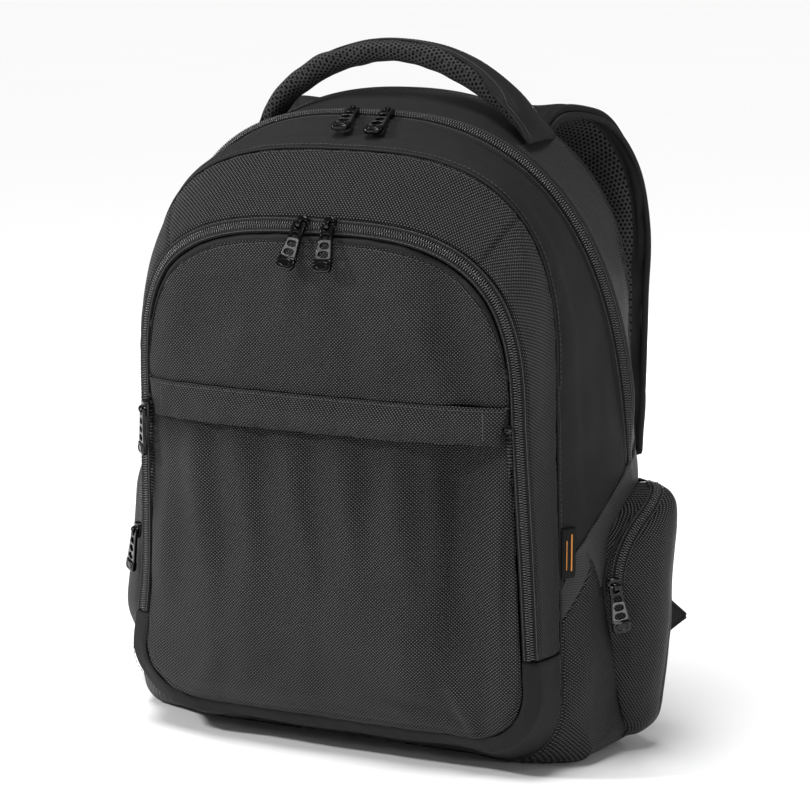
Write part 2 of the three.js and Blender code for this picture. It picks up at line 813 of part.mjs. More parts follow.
// A triangular tab of folded cloth that stands out of the back seam and holds the webbing's foot
function makeTab() {
  const x = seamHalf(seams.back, tabHeight);
  const root = new THREE.Vector3(x - backChamfer, rearFace + gap, tabHeight);
  const reach = new THREE.Vector3(tabReach, tabReach / 2, 0);
  const away = new THREE.Vector3(-reach.y, reach.x, 0).normalize().multiplyScalar(tabThick);
  const corner = (share, z, side) =>
    root.clone().addScaledVector(reach, share).addScaledVector(away, side).setZ(tabHeight + z).toArray();
  const outline = (side) => [
    corner(0, -tabTall / 2, side),
    corner(1, -tabTip / 2, side),
    corner(1, tabTip / 2, side),
    corner(0, tabTall / 2, side),
  ];
  return toSolid(loft([outline(0), outline(1)]));
}

// Label sewn in the front seam, on the gusset

function makeLabel() {
  const z = labelHeight;
  const start = new THREE.Vector3(seamHalf(seams.front, z), seamDepthAt(seams.front, z), z);
  const end = new THREE.Vector3(seamHalf(seams.side, z), seamDepthAt(seams.side, z), z);
  const across = end.sub(start);
  const share = labelWide / across.length();
  const lift = bodyBulge * 4 * share * (1 - share);
  const out = new THREE.Vector3(across.y, -across.x, 0).normalize();
  const along = across.clone().normalize();
  const at = (a, b) => start.clone().addScaledVector(along, a).addScaledVector(out, b);
  const top = lift + labelThick;
  const outline = (level) =>
    [at(gap, lift), at(labelWide, lift), at(labelWide, top), at(gap, top)].map((p) =>
      p.setZ(level).toArray(),
    );
  return toSolid(loft([outline(z - labelTall / 2), outline(z + labelTall / 2)]));
}

// Zip sliders and pulls: local X is the hinge axis, Y the way the pull hangs, Z away from the cloth

const pinHeight = sliderLift + sliderThick + pinRise;

function extruded(shape, depth) {
  return new THREE.ExtrudeGeometry(shape, { depth, bevelEnabled: false, curveSegments: 4 });
}

// A plate with a lug whose eye holds the pull's bar
function sliderSolid() {
  const plate = box(
    [-sliderWide / 2, -sliderLong / 2, sliderLift],
    [sliderWide / 2, sliderLong / 2, sliderLift + sliderThick],
  );
  const profile = new THREE.Shape();
  profile.moveTo(-lugReach, sliderLift + sliderThick / 2);
  profile.lineTo(lugReach, sliderLift + sliderThick / 2);
  profile.lineTo(lugReach, pinHeight);
  profile.absarc(0, pinHeight, lugReach, 0, Math.PI, false);
  profile.closePath();
  const eye = new THREE.Path();
  eye.absarc(0, pinHeight, eyeRadius, 0, 2 * Math.PI, true);
  profile.holes.push(eye);
  const lug = extruded(profile, lugWide);
  const turn = new THREE.Matrix4().set(0, 0, 1, -lugWide / 2, 1, 0, 0, 0, 0, 1, 0, 0, 0, 0, 0, 1);
  return plate.add(toSolid(lug.applyMatrix4(turn)));
}

// A flat pull about its bar, with a window for the lug, round holes and a wide end
function pullSolid() {
  const neck = pullNeck / 2;
  const half = pullWide / 2;
  const top = -pinBar / 2;
  const shoulder = lugReach + 2 * pinBar;
  const end = pullLong - pullRound;
  const corner = half - pullRound;
  const outline = new THREE.Shape();
  outline.moveTo(-neck, top).lineTo(neck, top).lineTo(neck, shoulder).lineTo(half, 2 * pullLong / 3);
  outline.absarc(corner, end, pullRound, 0, Math.PI / 2, false);
  outline.absarc(-corner, end, pullRound, Math.PI / 2, Math.PI, false);
  outline.lineTo(-half, 2 * pullLong / 3).lineTo(-neck, shoulder).closePath();
  const window = new THREE.Path();
  const windowHalf = lugWide / 2 + 2 * gap;
  const windowEnd = lugReach + 2 * gap;
  window.moveTo(-windowHalf, pinBar / 2).lineTo(-windowHalf, windowEnd);
  window.lineTo(windowHalf, windowEnd).lineTo(windowHalf, pinBar / 2).closePath();
  outline.holes.push(window);
  const first = windowEnd + pinBar + pullHole;
  const pitch = 2 * pullHole + pinBar / 2;
  for (let n = 0; n < pullHoles; n++) {
    const hole = new THREE.Path();
    hole.absarc(0, first + n * pitch, pullHole, 0, 2 * Math.PI, true);
    outline.holes.push(hole);
  }
  return extruded(outline, pullThick).translate(0, 0, -pullThick / 2);
}

// Each slider's place and outward direction
function sliderPlaces() {
  const { main_left, main_right, front_left, front_right, flap, side_right, side_left } = sliderStands;
  const onArch = (seam, { across }) => {
    const x = across * halfWidth;
    const share = Math.abs(x / (seam.half * halfWidth));
    const spring = seam.spring * height;
    const z = spring + (seam.top * height - spring) * (1 - share ** seam.arch) ** (1 / seam.arch);
    return [x, seamDepthAt(seam, z), z];
  };
  // On the forward half of the main tape
  const onTape = (stand) => {
    const [x, y, z] = onArch(seams.main, stand);
    return [x, y - mainTape / 4, z - mainTape / 12];
  };
  const low = sidePocketRows[4];
  const onSidePocket = (side, { across }) => {
    const y = mix((low.y * depth) / 2, sidePocketBack, across);
    const z = low.z * height - sliderLong / 4;
    const out = lookup(sidePocketSection, "across", side, across) * low.swell * sidePocketDepth;
    const x = sideHalf(y, z) - cloth / 2 + gap + out;
    return [side === "left" ? -x : x, y, z];
  };
  const onFlap = ({ across }) => {
    const z = flapSeam - flapDrop + sliderLong / 4;
    return [across * seamHalf(seams.pocket, z, rimInset), pocketDepth(across, z) - cloth, z];
  };
  const onTop = [0, -0.3, 0.95];
  const onFront = [0, -1, 0.45];
  const onRight = [0.6, -0.8, 0.1];
  const onLeft = [-0.6, -0.8, 0.1];
  return {
    main_left: { at: onTape(main_left), out: onTop },
    main_right: { at: onTape(main_right), out: onTop },
    front_left: { at: onArch(seams.pocket, front_left), out: onFront },
    front_right: { at: onArch(seams.pocket, front_right), out: onFront },
    flap: { at: onFlap(flap), out: [-0.72, -0.7, 0] },
    side_right: { at: onSidePocket("right", side_right), out: onRight },
    side_left: { at: onSidePocket("left", side_left), out: onLeft },
  };
}

function placement({ at, out }, hang) {
  const down = new THREE.Vector3(...hang).normalize();
  const normal = new THREE.Vector3(...out);
  normal.addScaledVector(down, -normal.dot(down)).normalize();
  const axis = new THREE.Vector3().crossVectors(down, normal);
  return new THREE.Matrix4().makeBasis(axis, down, normal).setPosition(...at);
}

// Materials

function finish(color, roughness, metalness = 0) {
  return new THREE.MeshStandardMaterial({ color, roughness, metalness });
}
const weave = finish(0x2b2c2f, 0.75);
const smooth = finish(0x222326, 0.6);
const ribbed = finish(0x26272a, 0.7);
const mesh = finish(0x1b1c1e, 0.9);
const tape = finish(0x18191b, 0.65);
const metal = finish(0x151618, 0.25, 0.8);
const plastic = finish(0x141416, 0.4);
const labelCloth = finish(0x1a1a1a, 0.7);

// Assembly

const bag = new THREE.Group();

function addMesh(name, shape, material, parent = bag) {
  const geometry = shape.isBufferGeometry ? shape : toGeometry(shape);
  const piece = new THREE.Mesh(geometry, material);
  piece.name = name;
  parent.add(piece);
  return piece;
}

function addAll(pieces, materials) {
  for (const [name, shape] of Object.entries(pieces)) {
    addMesh(name, shape, materials[name] ?? materials.other);
  }
}

const fill = bodyFill(gap);
addAll(makePanels(), { other: ribbed, back_panel: mesh });
addAll(makeGussets(), { front_gusset: smooth, rear_gusset: weave, main_zipper: tape });
addAll(makeLowerBody(), { bottom_panel: weave, other: ribbed });
addAll(makeFront(), { front_band: weave, front_base: smooth, front_zipper: tape });
addAll(makePocketFace(), { flap_zipper: tape, other: weave });
addAll(makeSidePockets(fill), { side_zipper_right: tape, side_zipper_left: tape, other: weave });
addAll(makeHandle(fill), { handle_grip: mesh, handle_band: smooth });
addMesh("label", makeLabel(), labelCloth);

const { strap, webbing, buckle, tab } = makeStraps();
for (const [side, turned] of [
  ["right", (solid) => solid],
  ["left", mirrored],
]) {
  addMesh("shoulder_strap_" + side, turned(strap), mesh);
  addMesh("strap_webbing_" + side, turned(webbing), smooth);
  addMesh("strap_buckle_" + side, turned(buckle), plastic);
  addMesh("strap_tab_" + side, turned(tab), smooth);
}

for (const [name, place] of Object.entries(sliderPlaces())) {
  const { hang, dip } = sliderStands[name];
  const holder = new THREE.Group();
  holder.applyMatrix4(placement(place, hang));
  bag.add(holder);
  addMesh("slider_" + name, sliderSolid(), metal, holder);
  const pull = addMesh("pull_" + name, pullSolid(), metal, holder);
  pull.position.z = pinHeight;
  pull.rotation.x = -THREE.MathUtils.degToRad(dip);
}

export default bag;
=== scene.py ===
"""A laptop backpack: sewn nylon panels, zippers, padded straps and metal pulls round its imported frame."""

import json
import math

import bpy
import numpy as np
from mathutils import Matrix, Vector


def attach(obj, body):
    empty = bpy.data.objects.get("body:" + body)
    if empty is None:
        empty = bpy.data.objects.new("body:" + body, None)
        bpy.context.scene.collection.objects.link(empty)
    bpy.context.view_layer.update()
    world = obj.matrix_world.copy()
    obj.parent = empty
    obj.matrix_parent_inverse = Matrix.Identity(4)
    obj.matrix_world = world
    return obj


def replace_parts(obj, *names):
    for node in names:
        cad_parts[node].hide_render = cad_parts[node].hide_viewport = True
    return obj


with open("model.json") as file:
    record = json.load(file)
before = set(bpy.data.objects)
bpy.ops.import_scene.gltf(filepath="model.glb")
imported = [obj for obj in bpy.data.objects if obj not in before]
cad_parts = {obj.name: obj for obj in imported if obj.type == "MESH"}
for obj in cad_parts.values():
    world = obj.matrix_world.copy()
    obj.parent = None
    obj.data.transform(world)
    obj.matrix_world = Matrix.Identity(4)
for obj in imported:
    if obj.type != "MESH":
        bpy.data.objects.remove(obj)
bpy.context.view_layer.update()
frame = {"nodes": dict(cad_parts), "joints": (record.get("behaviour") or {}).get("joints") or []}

MM = 0.001

# Sizes of the bag, the same as in the part's source
WIDTH = 355 * MM
HEIGHT = 450 * MM
DEPTH = 150 * MM
CORNER = 50 * MM
GAP = 0.3 * MM
BACK_PAD = 10 * MM
BULGE = 2 * MM
BASE_HALF = 118 * MM
BASE_TOP = 85 * MM
FRONT_TAPE = 11 * MM
FRONT_TAPE_DROP = 5 * MM
POCKET_BULGE = 20 * MM
FLAP_SEAM = 257 * MM
FLAP_DROP = 25 * MM
FLAP_ZIP = 13 * MM
FLAP_END_INSET = 6 * MM
SIDE_POCKET_DEPTH = 32 * MM
SIGNS = {"right": 1, "left": -1}
HALF = WIDTH / 2
REAR = DEPTH / 2 + GAP + BACK_PAD


def seam_row(half, low, bottom, top, spring, corner, arch, y_low, y_top):
    return dict(
        half=half * HALF, low=low * HALF, bottom=bottom * HEIGHT, top=top * HEIGHT, arch=arch,
        spring=spring * HEIGHT, corner=corner * CORNER, y_low=y_low * DEPTH, y_top=y_top * DEPTH,
    )


# Seams round the body, as shares of its sizes
SEAMS = {
    "back": seam_row(0.927, 1.03, 0, 1, 0.662, 0.7, 2.3, 0.5, 0.5),
    "main": seam_row(1, 1.03, 0, 0.97, 0.42, 0.5, 2.7, 0.44, 0.03),
    "side": seam_row(0.92, 0.965, 0, 0.947, 0.538, 0.3, 2.9, 0.03, -0.159),
    "front": seam_row(0.858, 0.873, 0, 0.926, 0.588, 1, 3, -0.12, -0.24),
    "pocket": seam_row(0.783, 0.823, 0.045, 0.82, 0.541, 0.85, 3.1, -0.32, -0.487),
}
LEAN = 1.6
FLAT_END, CORNER_END, SIDE_END = 0.09, 0.17, 0.31

POCKET_SWELL = [
    (0, 0.1), (0.06, 0.55), (0.2, 0.92), (0.36, 1), (0.52, 0.86), (0.66, 0.66), (0.84, 0.45),
    (0.95, 0.22), (1, 0.05),
]
POCKET_ROUND, POCKET_FALL = 3.2, 0.8

# Rows of the side pockets: y, z and the rear end's z as shares, and how far the row stands out
SIDE_ROWS = np.array([
    (0.64, 0.018, 0.012, 0.15), (0.53, 0.05, 0.05, 0.4), (0.4, 0.11, 0.12, 0.6),
    (0.29, 0.2, 0.215, 0.82), (0.16, 0.285, 0.3, 0.95), (0.23, 0.342, 0.352, 1),
    (0.41, 0.38, 0.388, 0.95), (0.63, 0.407, 0.409, 0.7), (0.83, 0.418, 0.417, 0.25),
])
# Section of a side pocket: share of the row, and how far it stands out on the right and on the left
SIDE_SECTION = np.array([
    (0, 0, 0), (0.06, 0.25, 0.48), (0.14, 0.5, 0.66), (0.28, 0.78, 0.86), (0.45, 0.95, 0.96),
    (0.6, 1, 1), (0.78, 0.95, 0.95), (0.92, 0.7, 0.7), (1, 0, 0),
])
WING_EDGE = np.array([
    (-0.8, 0.2), (-0.33, 0.255), (-0.15, 0.34), (0.24, 0.396), (0.63, 0.451), (1.13, 0.484), (1.8, 0.5),
])

# General shape helpers


def mix(a, b, t):
    return a + (b - a) * t


def unit(vectors):
    return vectors / np.maximum(np.linalg.norm(vectors, axis=-1, keepdims=True), 1e-12)


def hermite(xs, ys, slopes, at):
    """Cubic pieces through a table's rows, with their slopes."""
    n = np.clip(np.searchsorted(xs, at, side="right") - 1, 0, len(xs) - 2)
    wide = xs[n + 1] - xs[n]
    t = (at - xs[n]) / wide
    return (
        ys[n] * (1 + 2 * t) * (1 - t) ** 2 + slopes[n] * wide * t * (1 - t) ** 2
        + ys[n + 1] * t * t * (3 - 2 * t) - slopes[n + 1] * wide * t * t * (1 - t)
    )


def curved(xs, ys, at):
    """A smooth curve through a table's rows, whose slopes never overshoot."""
    xs, ys = np.asarray(xs, float), np.asarray(ys, float)
    steps = np.diff(ys) / np.diff(xs)
    slopes = np.zeros_like(ys)
    turning = steps[:-1] * steps[1:] > 0
    slopes[1:-1] = np.where(turning, 2 * steps[:-1] * steps[1:] / (steps[:-1] + steps[1:] + 1e-12), 0)
    slopes[0], slopes[-1] = steps[0], steps[-1]
    return hermite(xs, ys, slopes, np.clip(at, xs[0], xs[-1]))


def bell(distance, wide):
    """1 at no distance, falling smoothly to nothing over a few times wide, which is in millimetres."""
    return np.exp(-((distance / (wide * MM)) ** 2))


def clip01(value):
    return np.clip(value, 0, 1)


def signed_power(value, power):
    return np.sign(value) * np.abs(value) ** power


def ripple(points, wave, seed):
    """Smooth noise from -1 to 1 or so: a sum of sines in seeded directions."""
    rng = np.random.default_rng(seed)
    total = np.zeros(points.shape[:-1])
    for _ in range(9):
        way = rng.normal(size=3)
        way *= 2 * math.pi / (wave * rng.uniform(0.7, 1.7) * np.linalg.norm(way))
        total += np.sin(points @ way + rng.uniform(0, 2 * math.pi))
    return total / 3


def spread(count, crowd=0.8):
    """Shares from 0 to 1, crowded towards both ends."""
    t = np.linspace(0, 1, count)
    return t - crowd * np.sin(2 * math.pi * t) / (2 * math.pi)


# Body surface


def seam_depth(seam, rise):
    return mix(seam["y_low"], seam["y_top"], clip01(rise) ** LEAN)


def seam_point(name, way, inset=0.0, push=0.0):
    """Points on a seam, where way runs from 0 at the bottom centre by the right side to 1."""
    seam = SEAMS[name]
    way = np.asarray(way, float) % 1
    side = np.where(way > 0.5, -1.0, 1.0)
    u = np.where(way > 0.5, 1 - way, way)
    half, low = seam["half"] - inset, seam["low"] - inset
    bottom, top, spring = seam["bottom"] + inset, seam["top"] - inset, seam["spring"]
    r = seam["corner"] - inset
    a = clip01((u - FLAT_END) / (CORNER_END - FLAT_END)) * math.pi / 2
    t = clip01((u - CORNER_END) / (SIDE_END - CORNER_END))
    b = clip01((u - SIDE_END) / (0.5 - SIDE_END)) * math.pi / 2
    power = 2 / seam["arch"]
    parts = [u < FLAT_END, u < CORNER_END, u < SIDE_END]
    x = np.select(
        parts, [(low - r) * u / FLAT_END, low - r + r * np.sin(a), mix(low, half, t)],
        half * clip01(np.cos(b)) ** power,
    )
    z = np.select(
        parts, [bottom + 0 * u, bottom + r - r * np.cos(a), mix(bottom + r, spring, t)],
        spring + (top - spring) * clip01(np.sin(b)) ** power,
    )
    y = seam_depth(seam, (z - bottom) / (top - bottom)) + push
    return np.stack([side * x, y, z], -1)


def seam_out(name, way):
    step = 0.004
    t = seam_point(name, way + step) - seam_point(name, way - step)
    return unit(np.stack([t[..., 2], 0 * t[..., 0], -t[..., 0]], -1))


def seam_half(name, z, inset=0.0):
    """Half the width that a seam encloses at a height."""
    p = seam_point(name, np.linspace(FLAT_END, 0.5, 3000), inset)
    return np.interp(z, p[:, 2], p[:, 0])


def seam_depth_at(name, z):
    seam = SEAMS[name]
    return seam_depth(seam, (z - seam["bottom"]) / (seam["top"] - seam["bottom"]))


BODY_STOPS = ("front", "side", "main", "back")


def body_point(way, v):
    """The body's side surface: v is 0 at the front seam, then 1, 2 and 3 at the side, main and back ones."""
    way, v = np.broadcast_arrays(np.asarray(way, float), np.asarray(v, float))
    seams = [seam_point(name, way) for name in BODY_STOPS]
    points = np.zeros(way.shape + (3,))
    for n in range(3):
        t = (v - n)[..., None]
        out = seam_out(BODY_STOPS[n + 1], way)
        lift = BULGE * 4 * t * (1 - t) * np.minimum(1, 1 + out[..., 2:])
        here = mix(seams[n], seams[n + 1], t) + out * lift
        inside = (v >= n) & ((v < n + 1) | (n == 2))
        points = np.where(inside[..., None], here, points)
    return points


def front_point(way, v):
    """The front wall: v is 0 at the front seam, 1 at the front tape's outer edge and 2 at its inner edge."""
    way, v = np.broadcast_arrays(np.asarray(way, float), np.asarray(v, float))
    outer = seam_point("pocket", way, -FRONT_TAPE / 2, FRONT_TAPE_DROP / 2)
    inner = seam_point("pocket", way, FRONT_TAPE / 2, -FRONT_TAPE_DROP / 2)
    t = v[..., None]
    out = seam_out("pocket", way)
    wall = mix(seam_point("front", way), outer, t)
    wall += out * BULGE * 4 * t * (1 - t) * np.minimum(1, 1 + out[..., 2:])
    return np.where(t <= 1, wall, mix(outer, inner, t - 1))


def crossing(point_at, v, above, low):
    """For each v, the first way from low to the top at which above(points) turns positive."""
    ways = np.linspace(low, 0.5, 1500)
    found = []
    for one in np.atleast_1d(v):
        value = above(point_at(ways, one))
        n = max(int(np.argmax(value > 0)), 1)
        t = value[n - 1] / (value[n - 1] - value[n])
        found.append(mix(ways[n - 1], ways[n], t))
    return np.array(found)


def over_wing(points):
    return points[..., 2] - np.interp(points[..., 1], WING_EDGE[:, 0] * DEPTH / 2, WING_EDGE[:, 1] * HEIGHT)


# Ways at even distances round the main seam
DENSE = np.linspace(0, 1, 6001)
TRAVEL = np.append(0, np.cumsum(np.linalg.norm(np.diff(seam_point("main", DENSE), axis=0), axis=1)))


def even_ways(start, end, count):
    """Ways from start to end at even steps round the bag."""
    turns = np.floor([start, end])
    here = np.interp([start % 1, end % 1], DENSE, TRAVEL) + turns * TRAVEL[-1]
    far = mix(here[0], here[1], np.linspace(0, 1, count))
    return np.interp(far % TRAVEL[-1], TRAVEL, DENSE) + np.floor(far / TRAVEL[-1])


# Front face of the pocket

RIM_INSET = FRONT_TAPE / 2 + GAP
RIM_BOTTOM = SEAMS["pocket"]["bottom"] + RIM_INSET
RIM_TOP = SEAMS["pocket"]["top"] - RIM_INSET


def pocket_depth(across, z):
    swell = POCKET_BULGE * curved(*zip(*POCKET_SWELL), (z - RIM_BOTTOM) / (RIM_TOP - RIM_BOTTOM))
    fall = (1 - clip01(np.abs(across)) ** POCKET_ROUND) ** POCKET_FALL
    return seam_depth_at("pocket", z) - FRONT_TAPE_DROP / 2 - swell * fall


def on_pocket(x, z):
    half = seam_half("pocket", z, RIM_INSET)
    return np.stack([x, pocket_depth(x / half, z), z], -1)


# Cloth panels

CENTRE = np.array([0, 0, 0.2])


class Panel:
    """A grid of points over a piece of cloth, with its outward normals and its distances in metres."""

    def __init__(self, points, wrap=False, inside=CENTRE):
        self.wrap = wrap
        self.points = np.asarray(points, float)
        self.flipped = bool(np.sum(self.find_normals() * (self.points - inside)) < 0)
        if self.flipped:
            self.points = self.points[::-1].copy()
        self.normals = self.find_normals()
        steps = np.linalg.norm(np.diff(self.points, axis=0), axis=2)
        self.across = np.vstack([np.zeros(self.points.shape[1]), np.cumsum(steps, axis=0)])
        round_points = np.concatenate([self.points, self.points[:, :1]], 1) if wrap else self.points
        steps = np.linalg.norm(np.diff(round_points, axis=1), axis=2)
        self.along = np.hstack([np.zeros((len(self.points), 1)), np.cumsum(steps, axis=1)])
        self.zone = None
        self.flat = None

    def find_normals(self):
        p = self.points
        if self.wrap:
            along = np.roll(p, -1, 1) - np.roll(p, 1, 1)
        else:
            along = np.gradient(p, axis=1)
        return unit(np.cross(along, np.gradient(p, axis=0)))

    def from_first(self):
        """How far each point is from the row that was given first."""
        return self.across[-1] - self.across if self.flipped else self.across

    def edge_distances(self):
        """How far each point is from the first or last row, and from the rows' ends."""
        d = np.minimum(self.across, self.across[-1] - self.across)
        ends = d * 0 + 1 if self.wrap else np.minimum(self.along, self.along[:, -1:] - self.along)
        return d, ends

    def push(self, amount):
        self.points = self.points + self.normals * np.asarray(amount)[..., None]
        self.normals = self.find_normals()
        return self

    def sew(self, roll=1.3, pucker=0.35, sway=0.8, end_roll=None, seed=1, creases=()):
        """Rolls the edges into their seams, puckers the cloth beside them and lets it sway between."""
        side, end = self.edge_distances()
        d = np.minimum(side, end)
        end_roll = roll if end_roll is None else end_roll
        amount = -roll * MM * bell(side, 1.7) * (1 - bell(end, 1.7))
        amount -= end_roll * MM * bell(end, 1.7)
        amount += pucker * MM * np.exp(-d / (8 * MM)) * ripple(self.points, 11 * MM, seed)
        far = 1 - np.exp(-d / (16 * MM))
        amount += sway * MM * far * ripple(self.points, 75 * MM, seed + 50)
        amount += 0.22 * sway * MM * far * ripple(self.points, 26 * MM, seed + 90)
        for crease in creases:
            amount += crease_push(self.points, *crease)
        return self.push(amount)

    def line(self, distance, from_last=False):
        """The line at a distance from the row given first, or from the one given last, with its normals."""
        d = self.from_first()
        d = d.max(0) - d if from_last else d
        points, normals = [], []
        for n in range(self.points.shape[1]):
            order = np.argsort(d[:, n])
            at = [np.interp(distance, d[order, n], self.points[order, n, k]) for k in range(3)]
            facing = [np.interp(distance, d[order, n], self.normals[order, n, k]) for k in range(3)]
            points.append(at)
            normals.append(facing)
        if self.wrap:
            points.append(points[0])
            normals.append(normals[0])
        return np.array(points), unit(np.array(normals))


def crease_push(points, start, end, wide, push):
    """A fold along a straight line between (x, y, z) or, as seen from the front, (x, z), in millimetres:
    push is outwards if positive, and fades at both ends."""
    points = points if len(start) == 3 else points[..., ::2]
    start, end = np.array(start) * MM, np.array(end) * MM
    line = end - start
    t = clip01((points - start) @ line / (line @ line))
    far = np.linalg.norm(points - (start + t[..., None] * line), axis=-1)
    fade = np.sin(math.pi * np.clip(t, 0.04, 0.96)) ** 0.5
    return push * MM * fade * bell(far, wide)


def add(name, data):
    made = bpy.data.objects.new(name, data)
    bpy.context.scene.collection.objects.link(made)
    return made


def make_object(name, points, faces, uvs=None, material=None):
    name += "_cloth" if name in frame["nodes"] else ""
    mesh = bpy.data.meshes.new(name)
    mesh.from_pydata(points, [], faces)
    if uvs is not None:
        layer = mesh.uv_layers.new(name="cloth")
        layer.data.foreach_set("uv", np.asarray(uvs, np.float32).ravel())
    piece = add(name, mesh)
    mesh.polygons.foreach_set("use_smooth", [True] * len(mesh.polygons))
    for one in material if isinstance(material, list) else [material]:
        mesh.materials.append(one)
    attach(piece, "bag")
    return piece


# How the left side lies in, at a height and over a reach, all in millimetres
LEFT_SLACK = ((42, 55, 9.5), (315, 75, -4.5))


def settle(points):
    """Keeps cloth off the floor, curls the base's front edge up and evens out the left side."""
    x, y, z = np.moveaxis(np.asarray(points, float), -1, 0)
    front = clip01((15 * MM - y) / (40 * MM)) ** 1.5 * clip01((150 * MM - x) / (60 * MM))
    left = clip01((-110 * MM - x) / (45 * MM))
    left = left * sum(deep * bell(z - level * MM, reach) for level, reach, deep in LEFT_SLACK)
    z = np.maximum(z, 0.2 * MM) + 6 * MM * front * bell(z, 18)
    return np.stack([x - left * MM, y, z], -1)


def lay(name, panel, material, thick=1.6 * MM, caps=False):
    """The mesh of a panel, with a cloth's thickness inwards and its own distances in millimetres as UV."""
    panel.points = settle(panel.points)
    rows, cols = panel.points.shape[:2]
    at = np.arange(rows * cols).reshape(rows, cols)
    right = np.roll(at, -1, 1) if panel.wrap else at[:, 1:]
    left = at if panel.wrap else at[:, :-1]
    quads = np.stack([left[:-1], right[:-1], right[1:], left[1:]], -1).reshape(-1, 4)
    if panel.flat is None:
        u = np.broadcast_to(panel.along.mean(0), panel.along.shape)
        v = np.broadcast_to(panel.across.mean(1, keepdims=True), panel.along.shape)
    else:
        u, v = panel.flat
    uv = np.stack([u, v], -1) / MM
    loops = np.stack([uv[:-1, :-1], uv[:-1, 1:], uv[1:, 1:], uv[1:, :-1]], 2).reshape(-1, 4, 2)
    faces = quads.tolist()
    uvs = loops.reshape(-1, 2)
    if caps:
        faces += [at[0][::-1].tolist(), at[-1].tolist()]
        uvs = np.vstack([uvs, np.zeros((2 * cols, 2))])
    piece = make_object(name, panel.points.reshape(-1, 3).tolist(), faces, uvs, material)
    if panel.zone is not None:
        zone = panel.zone if not panel.wrap else np.hstack([panel.zone, panel.zone[:, :1]])
        corner = np.stack([zone[:-1, :-1], zone[:-1, 1:], zone[1:, 1:], zone[1:, :-1]], -1)
        index = np.round(np.median(corner, -1)).astype(int).ravel()
        piece.data.polygons.foreach_set("material_index", index.tolist() + [0] * (2 if caps else 0))
    if thick:
        wall = piece.modifiers.new("wall", "SOLIDIFY")
        wall.thickness = thick
        wall.offset = -1
        wall.use_even_offset = False
    return piece


# Lines on the cloth: tubes, stitches and zipper teeth


class Line:
    """Even steps along a line on a surface: places, ways along it, outward normals and sides."""

    def __init__(self, points, normals, pitch, trim=0.0):
        far = np.append(0, np.cumsum(np.linalg.norm(np.diff(points, axis=0), axis=1)))
        count = max(int(round((far[-1] - 2 * trim) / pitch)), 1) + 1
        at = np.linspace(trim, far[-1] - trim, count)
        self.far = at
        self.points = np.stack([np.interp(at, far, points[:, k]) for k in range(3)], -1)
        self.normals = unit(np.stack([np.interp(at, far, normals[:, k]) for k in range(3)], -1))
        self.along = unit(np.gradient(self.points, axis=0))
        self.sides = unit(np.cross(self.along, self.normals))
        self.normals = unit(np.cross(self.sides, self.along))


def sweep(line, section, wrap=True):
    """The panel of a strip or tube whose section is a list of (aside, up) in metres, swept along a line."""
    section = np.asarray(section, float)
    if section.ndim == 2:
        section = np.broadcast_to(section, (len(line.points),) + section.shape)
    points = line.points[:, None] + line.sides[:, None] * section[..., :1]
    points = points + line.normals[:, None] * section[..., 1:]
    middle = line.points[:, None] if wrap else line.points[:, None] - line.normals[:, None]
    return Panel(points, wrap, middle)


def tube(name, points, normals, radius, material, pitch=3 * MM, squeeze=1.0):
    a = np.linspace(0, 2 * math.pi, 10, endpoint=False)
    section = np.stack([radius * np.cos(a), radius * squeeze * np.sin(a)], -1)
    return lay(name, sweep(Line(points, normals, pitch), section), material, 0, True)


def copies(name, line, shape, faces, material, lift=0.0):
    """One mesh of a small shape set at every step of a line; shape is in (aside, along, up)."""
    axes = np.stack([line.sides, line.along, line.normals], 1)
    centres = line.points + line.normals * lift
    around = np.einsum("kc,ncd->nkd", np.asarray(shape, float), axes)
    points = settle((centres[:, None] + around).reshape(-1, 3))
    count = len(shape)
    all_faces = [[n * count + k for k in face] for n in range(len(line.points)) for face in faces]
    return make_object(name, points.tolist(), all_faces, None, material)


def bar_shape(along, wide, tall, rings, sides=6):
    """A small bar with round ends along the second axis, as points and faces."""
    points, faces = [], []
    for t, r in rings:
        for k in range(sides):
            a = 2 * math.pi * k / sides
            points.append((wide / 2 * r * math.cos(a), (t - 0.5) * along, tall / 2 * r * math.sin(a)))
    for n in range(len(rings) - 1):
        for k in range(sides):
            m = (k + 1) % sides
            faces.append((n * sides + k, n * sides + m, (n + 1) * sides + m, (n + 1) * sides + k))
    faces.append(tuple(reversed(range(sides))))
    faces.append(tuple(range((len(rings) - 1) * sides, len(rings) * sides)))
    return points, faces


FRONT_PIPING = 0.95 * MM  # radii of the cords in piping and binding
SIDE_PIPING = 1.3 * MM
BACK_BINDING = 2.1 * MM
STRAP_BINDING = 2.4 * MM
STITCH = bar_shape(2.7 * MM, 0.55 * MM, 0.5 * MM, [(0, 0.5), (0.2, 1), (0.8, 1), (1, 0.5)], 5)


def stitches(name, points, normals, pitch=3.6 * MM, trim=2 * MM):
    return copies(name, Line(points, normals, pitch, trim), *STITCH, THREAD, 0.12 * MM)


def join_rows(name, pieces):
    """Joins pieces that make one sewn or woven row."""
    bpy.ops.object.select_all(action="DESELECT")
    for piece in pieces:
        piece.select_set(True)
    bpy.context.view_layer.objects.active = pieces[0]
    bpy.ops.object.join()
    pieces[0].name = name
    pieces[0].data.name = name
    return pieces[0]


# Materials


def by_node(kind, turned=False):
    def act(a, b):
        return a.shader.math(kind, *((b, a) if turned else (a, b)))
    return act


class Value:
    """A socket of a shader that is added, multiplied and so on like a number."""

    def __init__(self, shader, socket):
        self.shader, self.socket = shader, socket

    __add__ = __radd__ = by_node("ADD")
    __mul__ = __rmul__ = by_node("MULTIPLY")
    __sub__ = by_node("SUBTRACT")
    __rsub__ = by_node("SUBTRACT", True)
    __truediv__ = by_node("DIVIDE")
    __mod__ = by_node("FLOORED_MODULO")
    __pow__ = by_node("POWER")


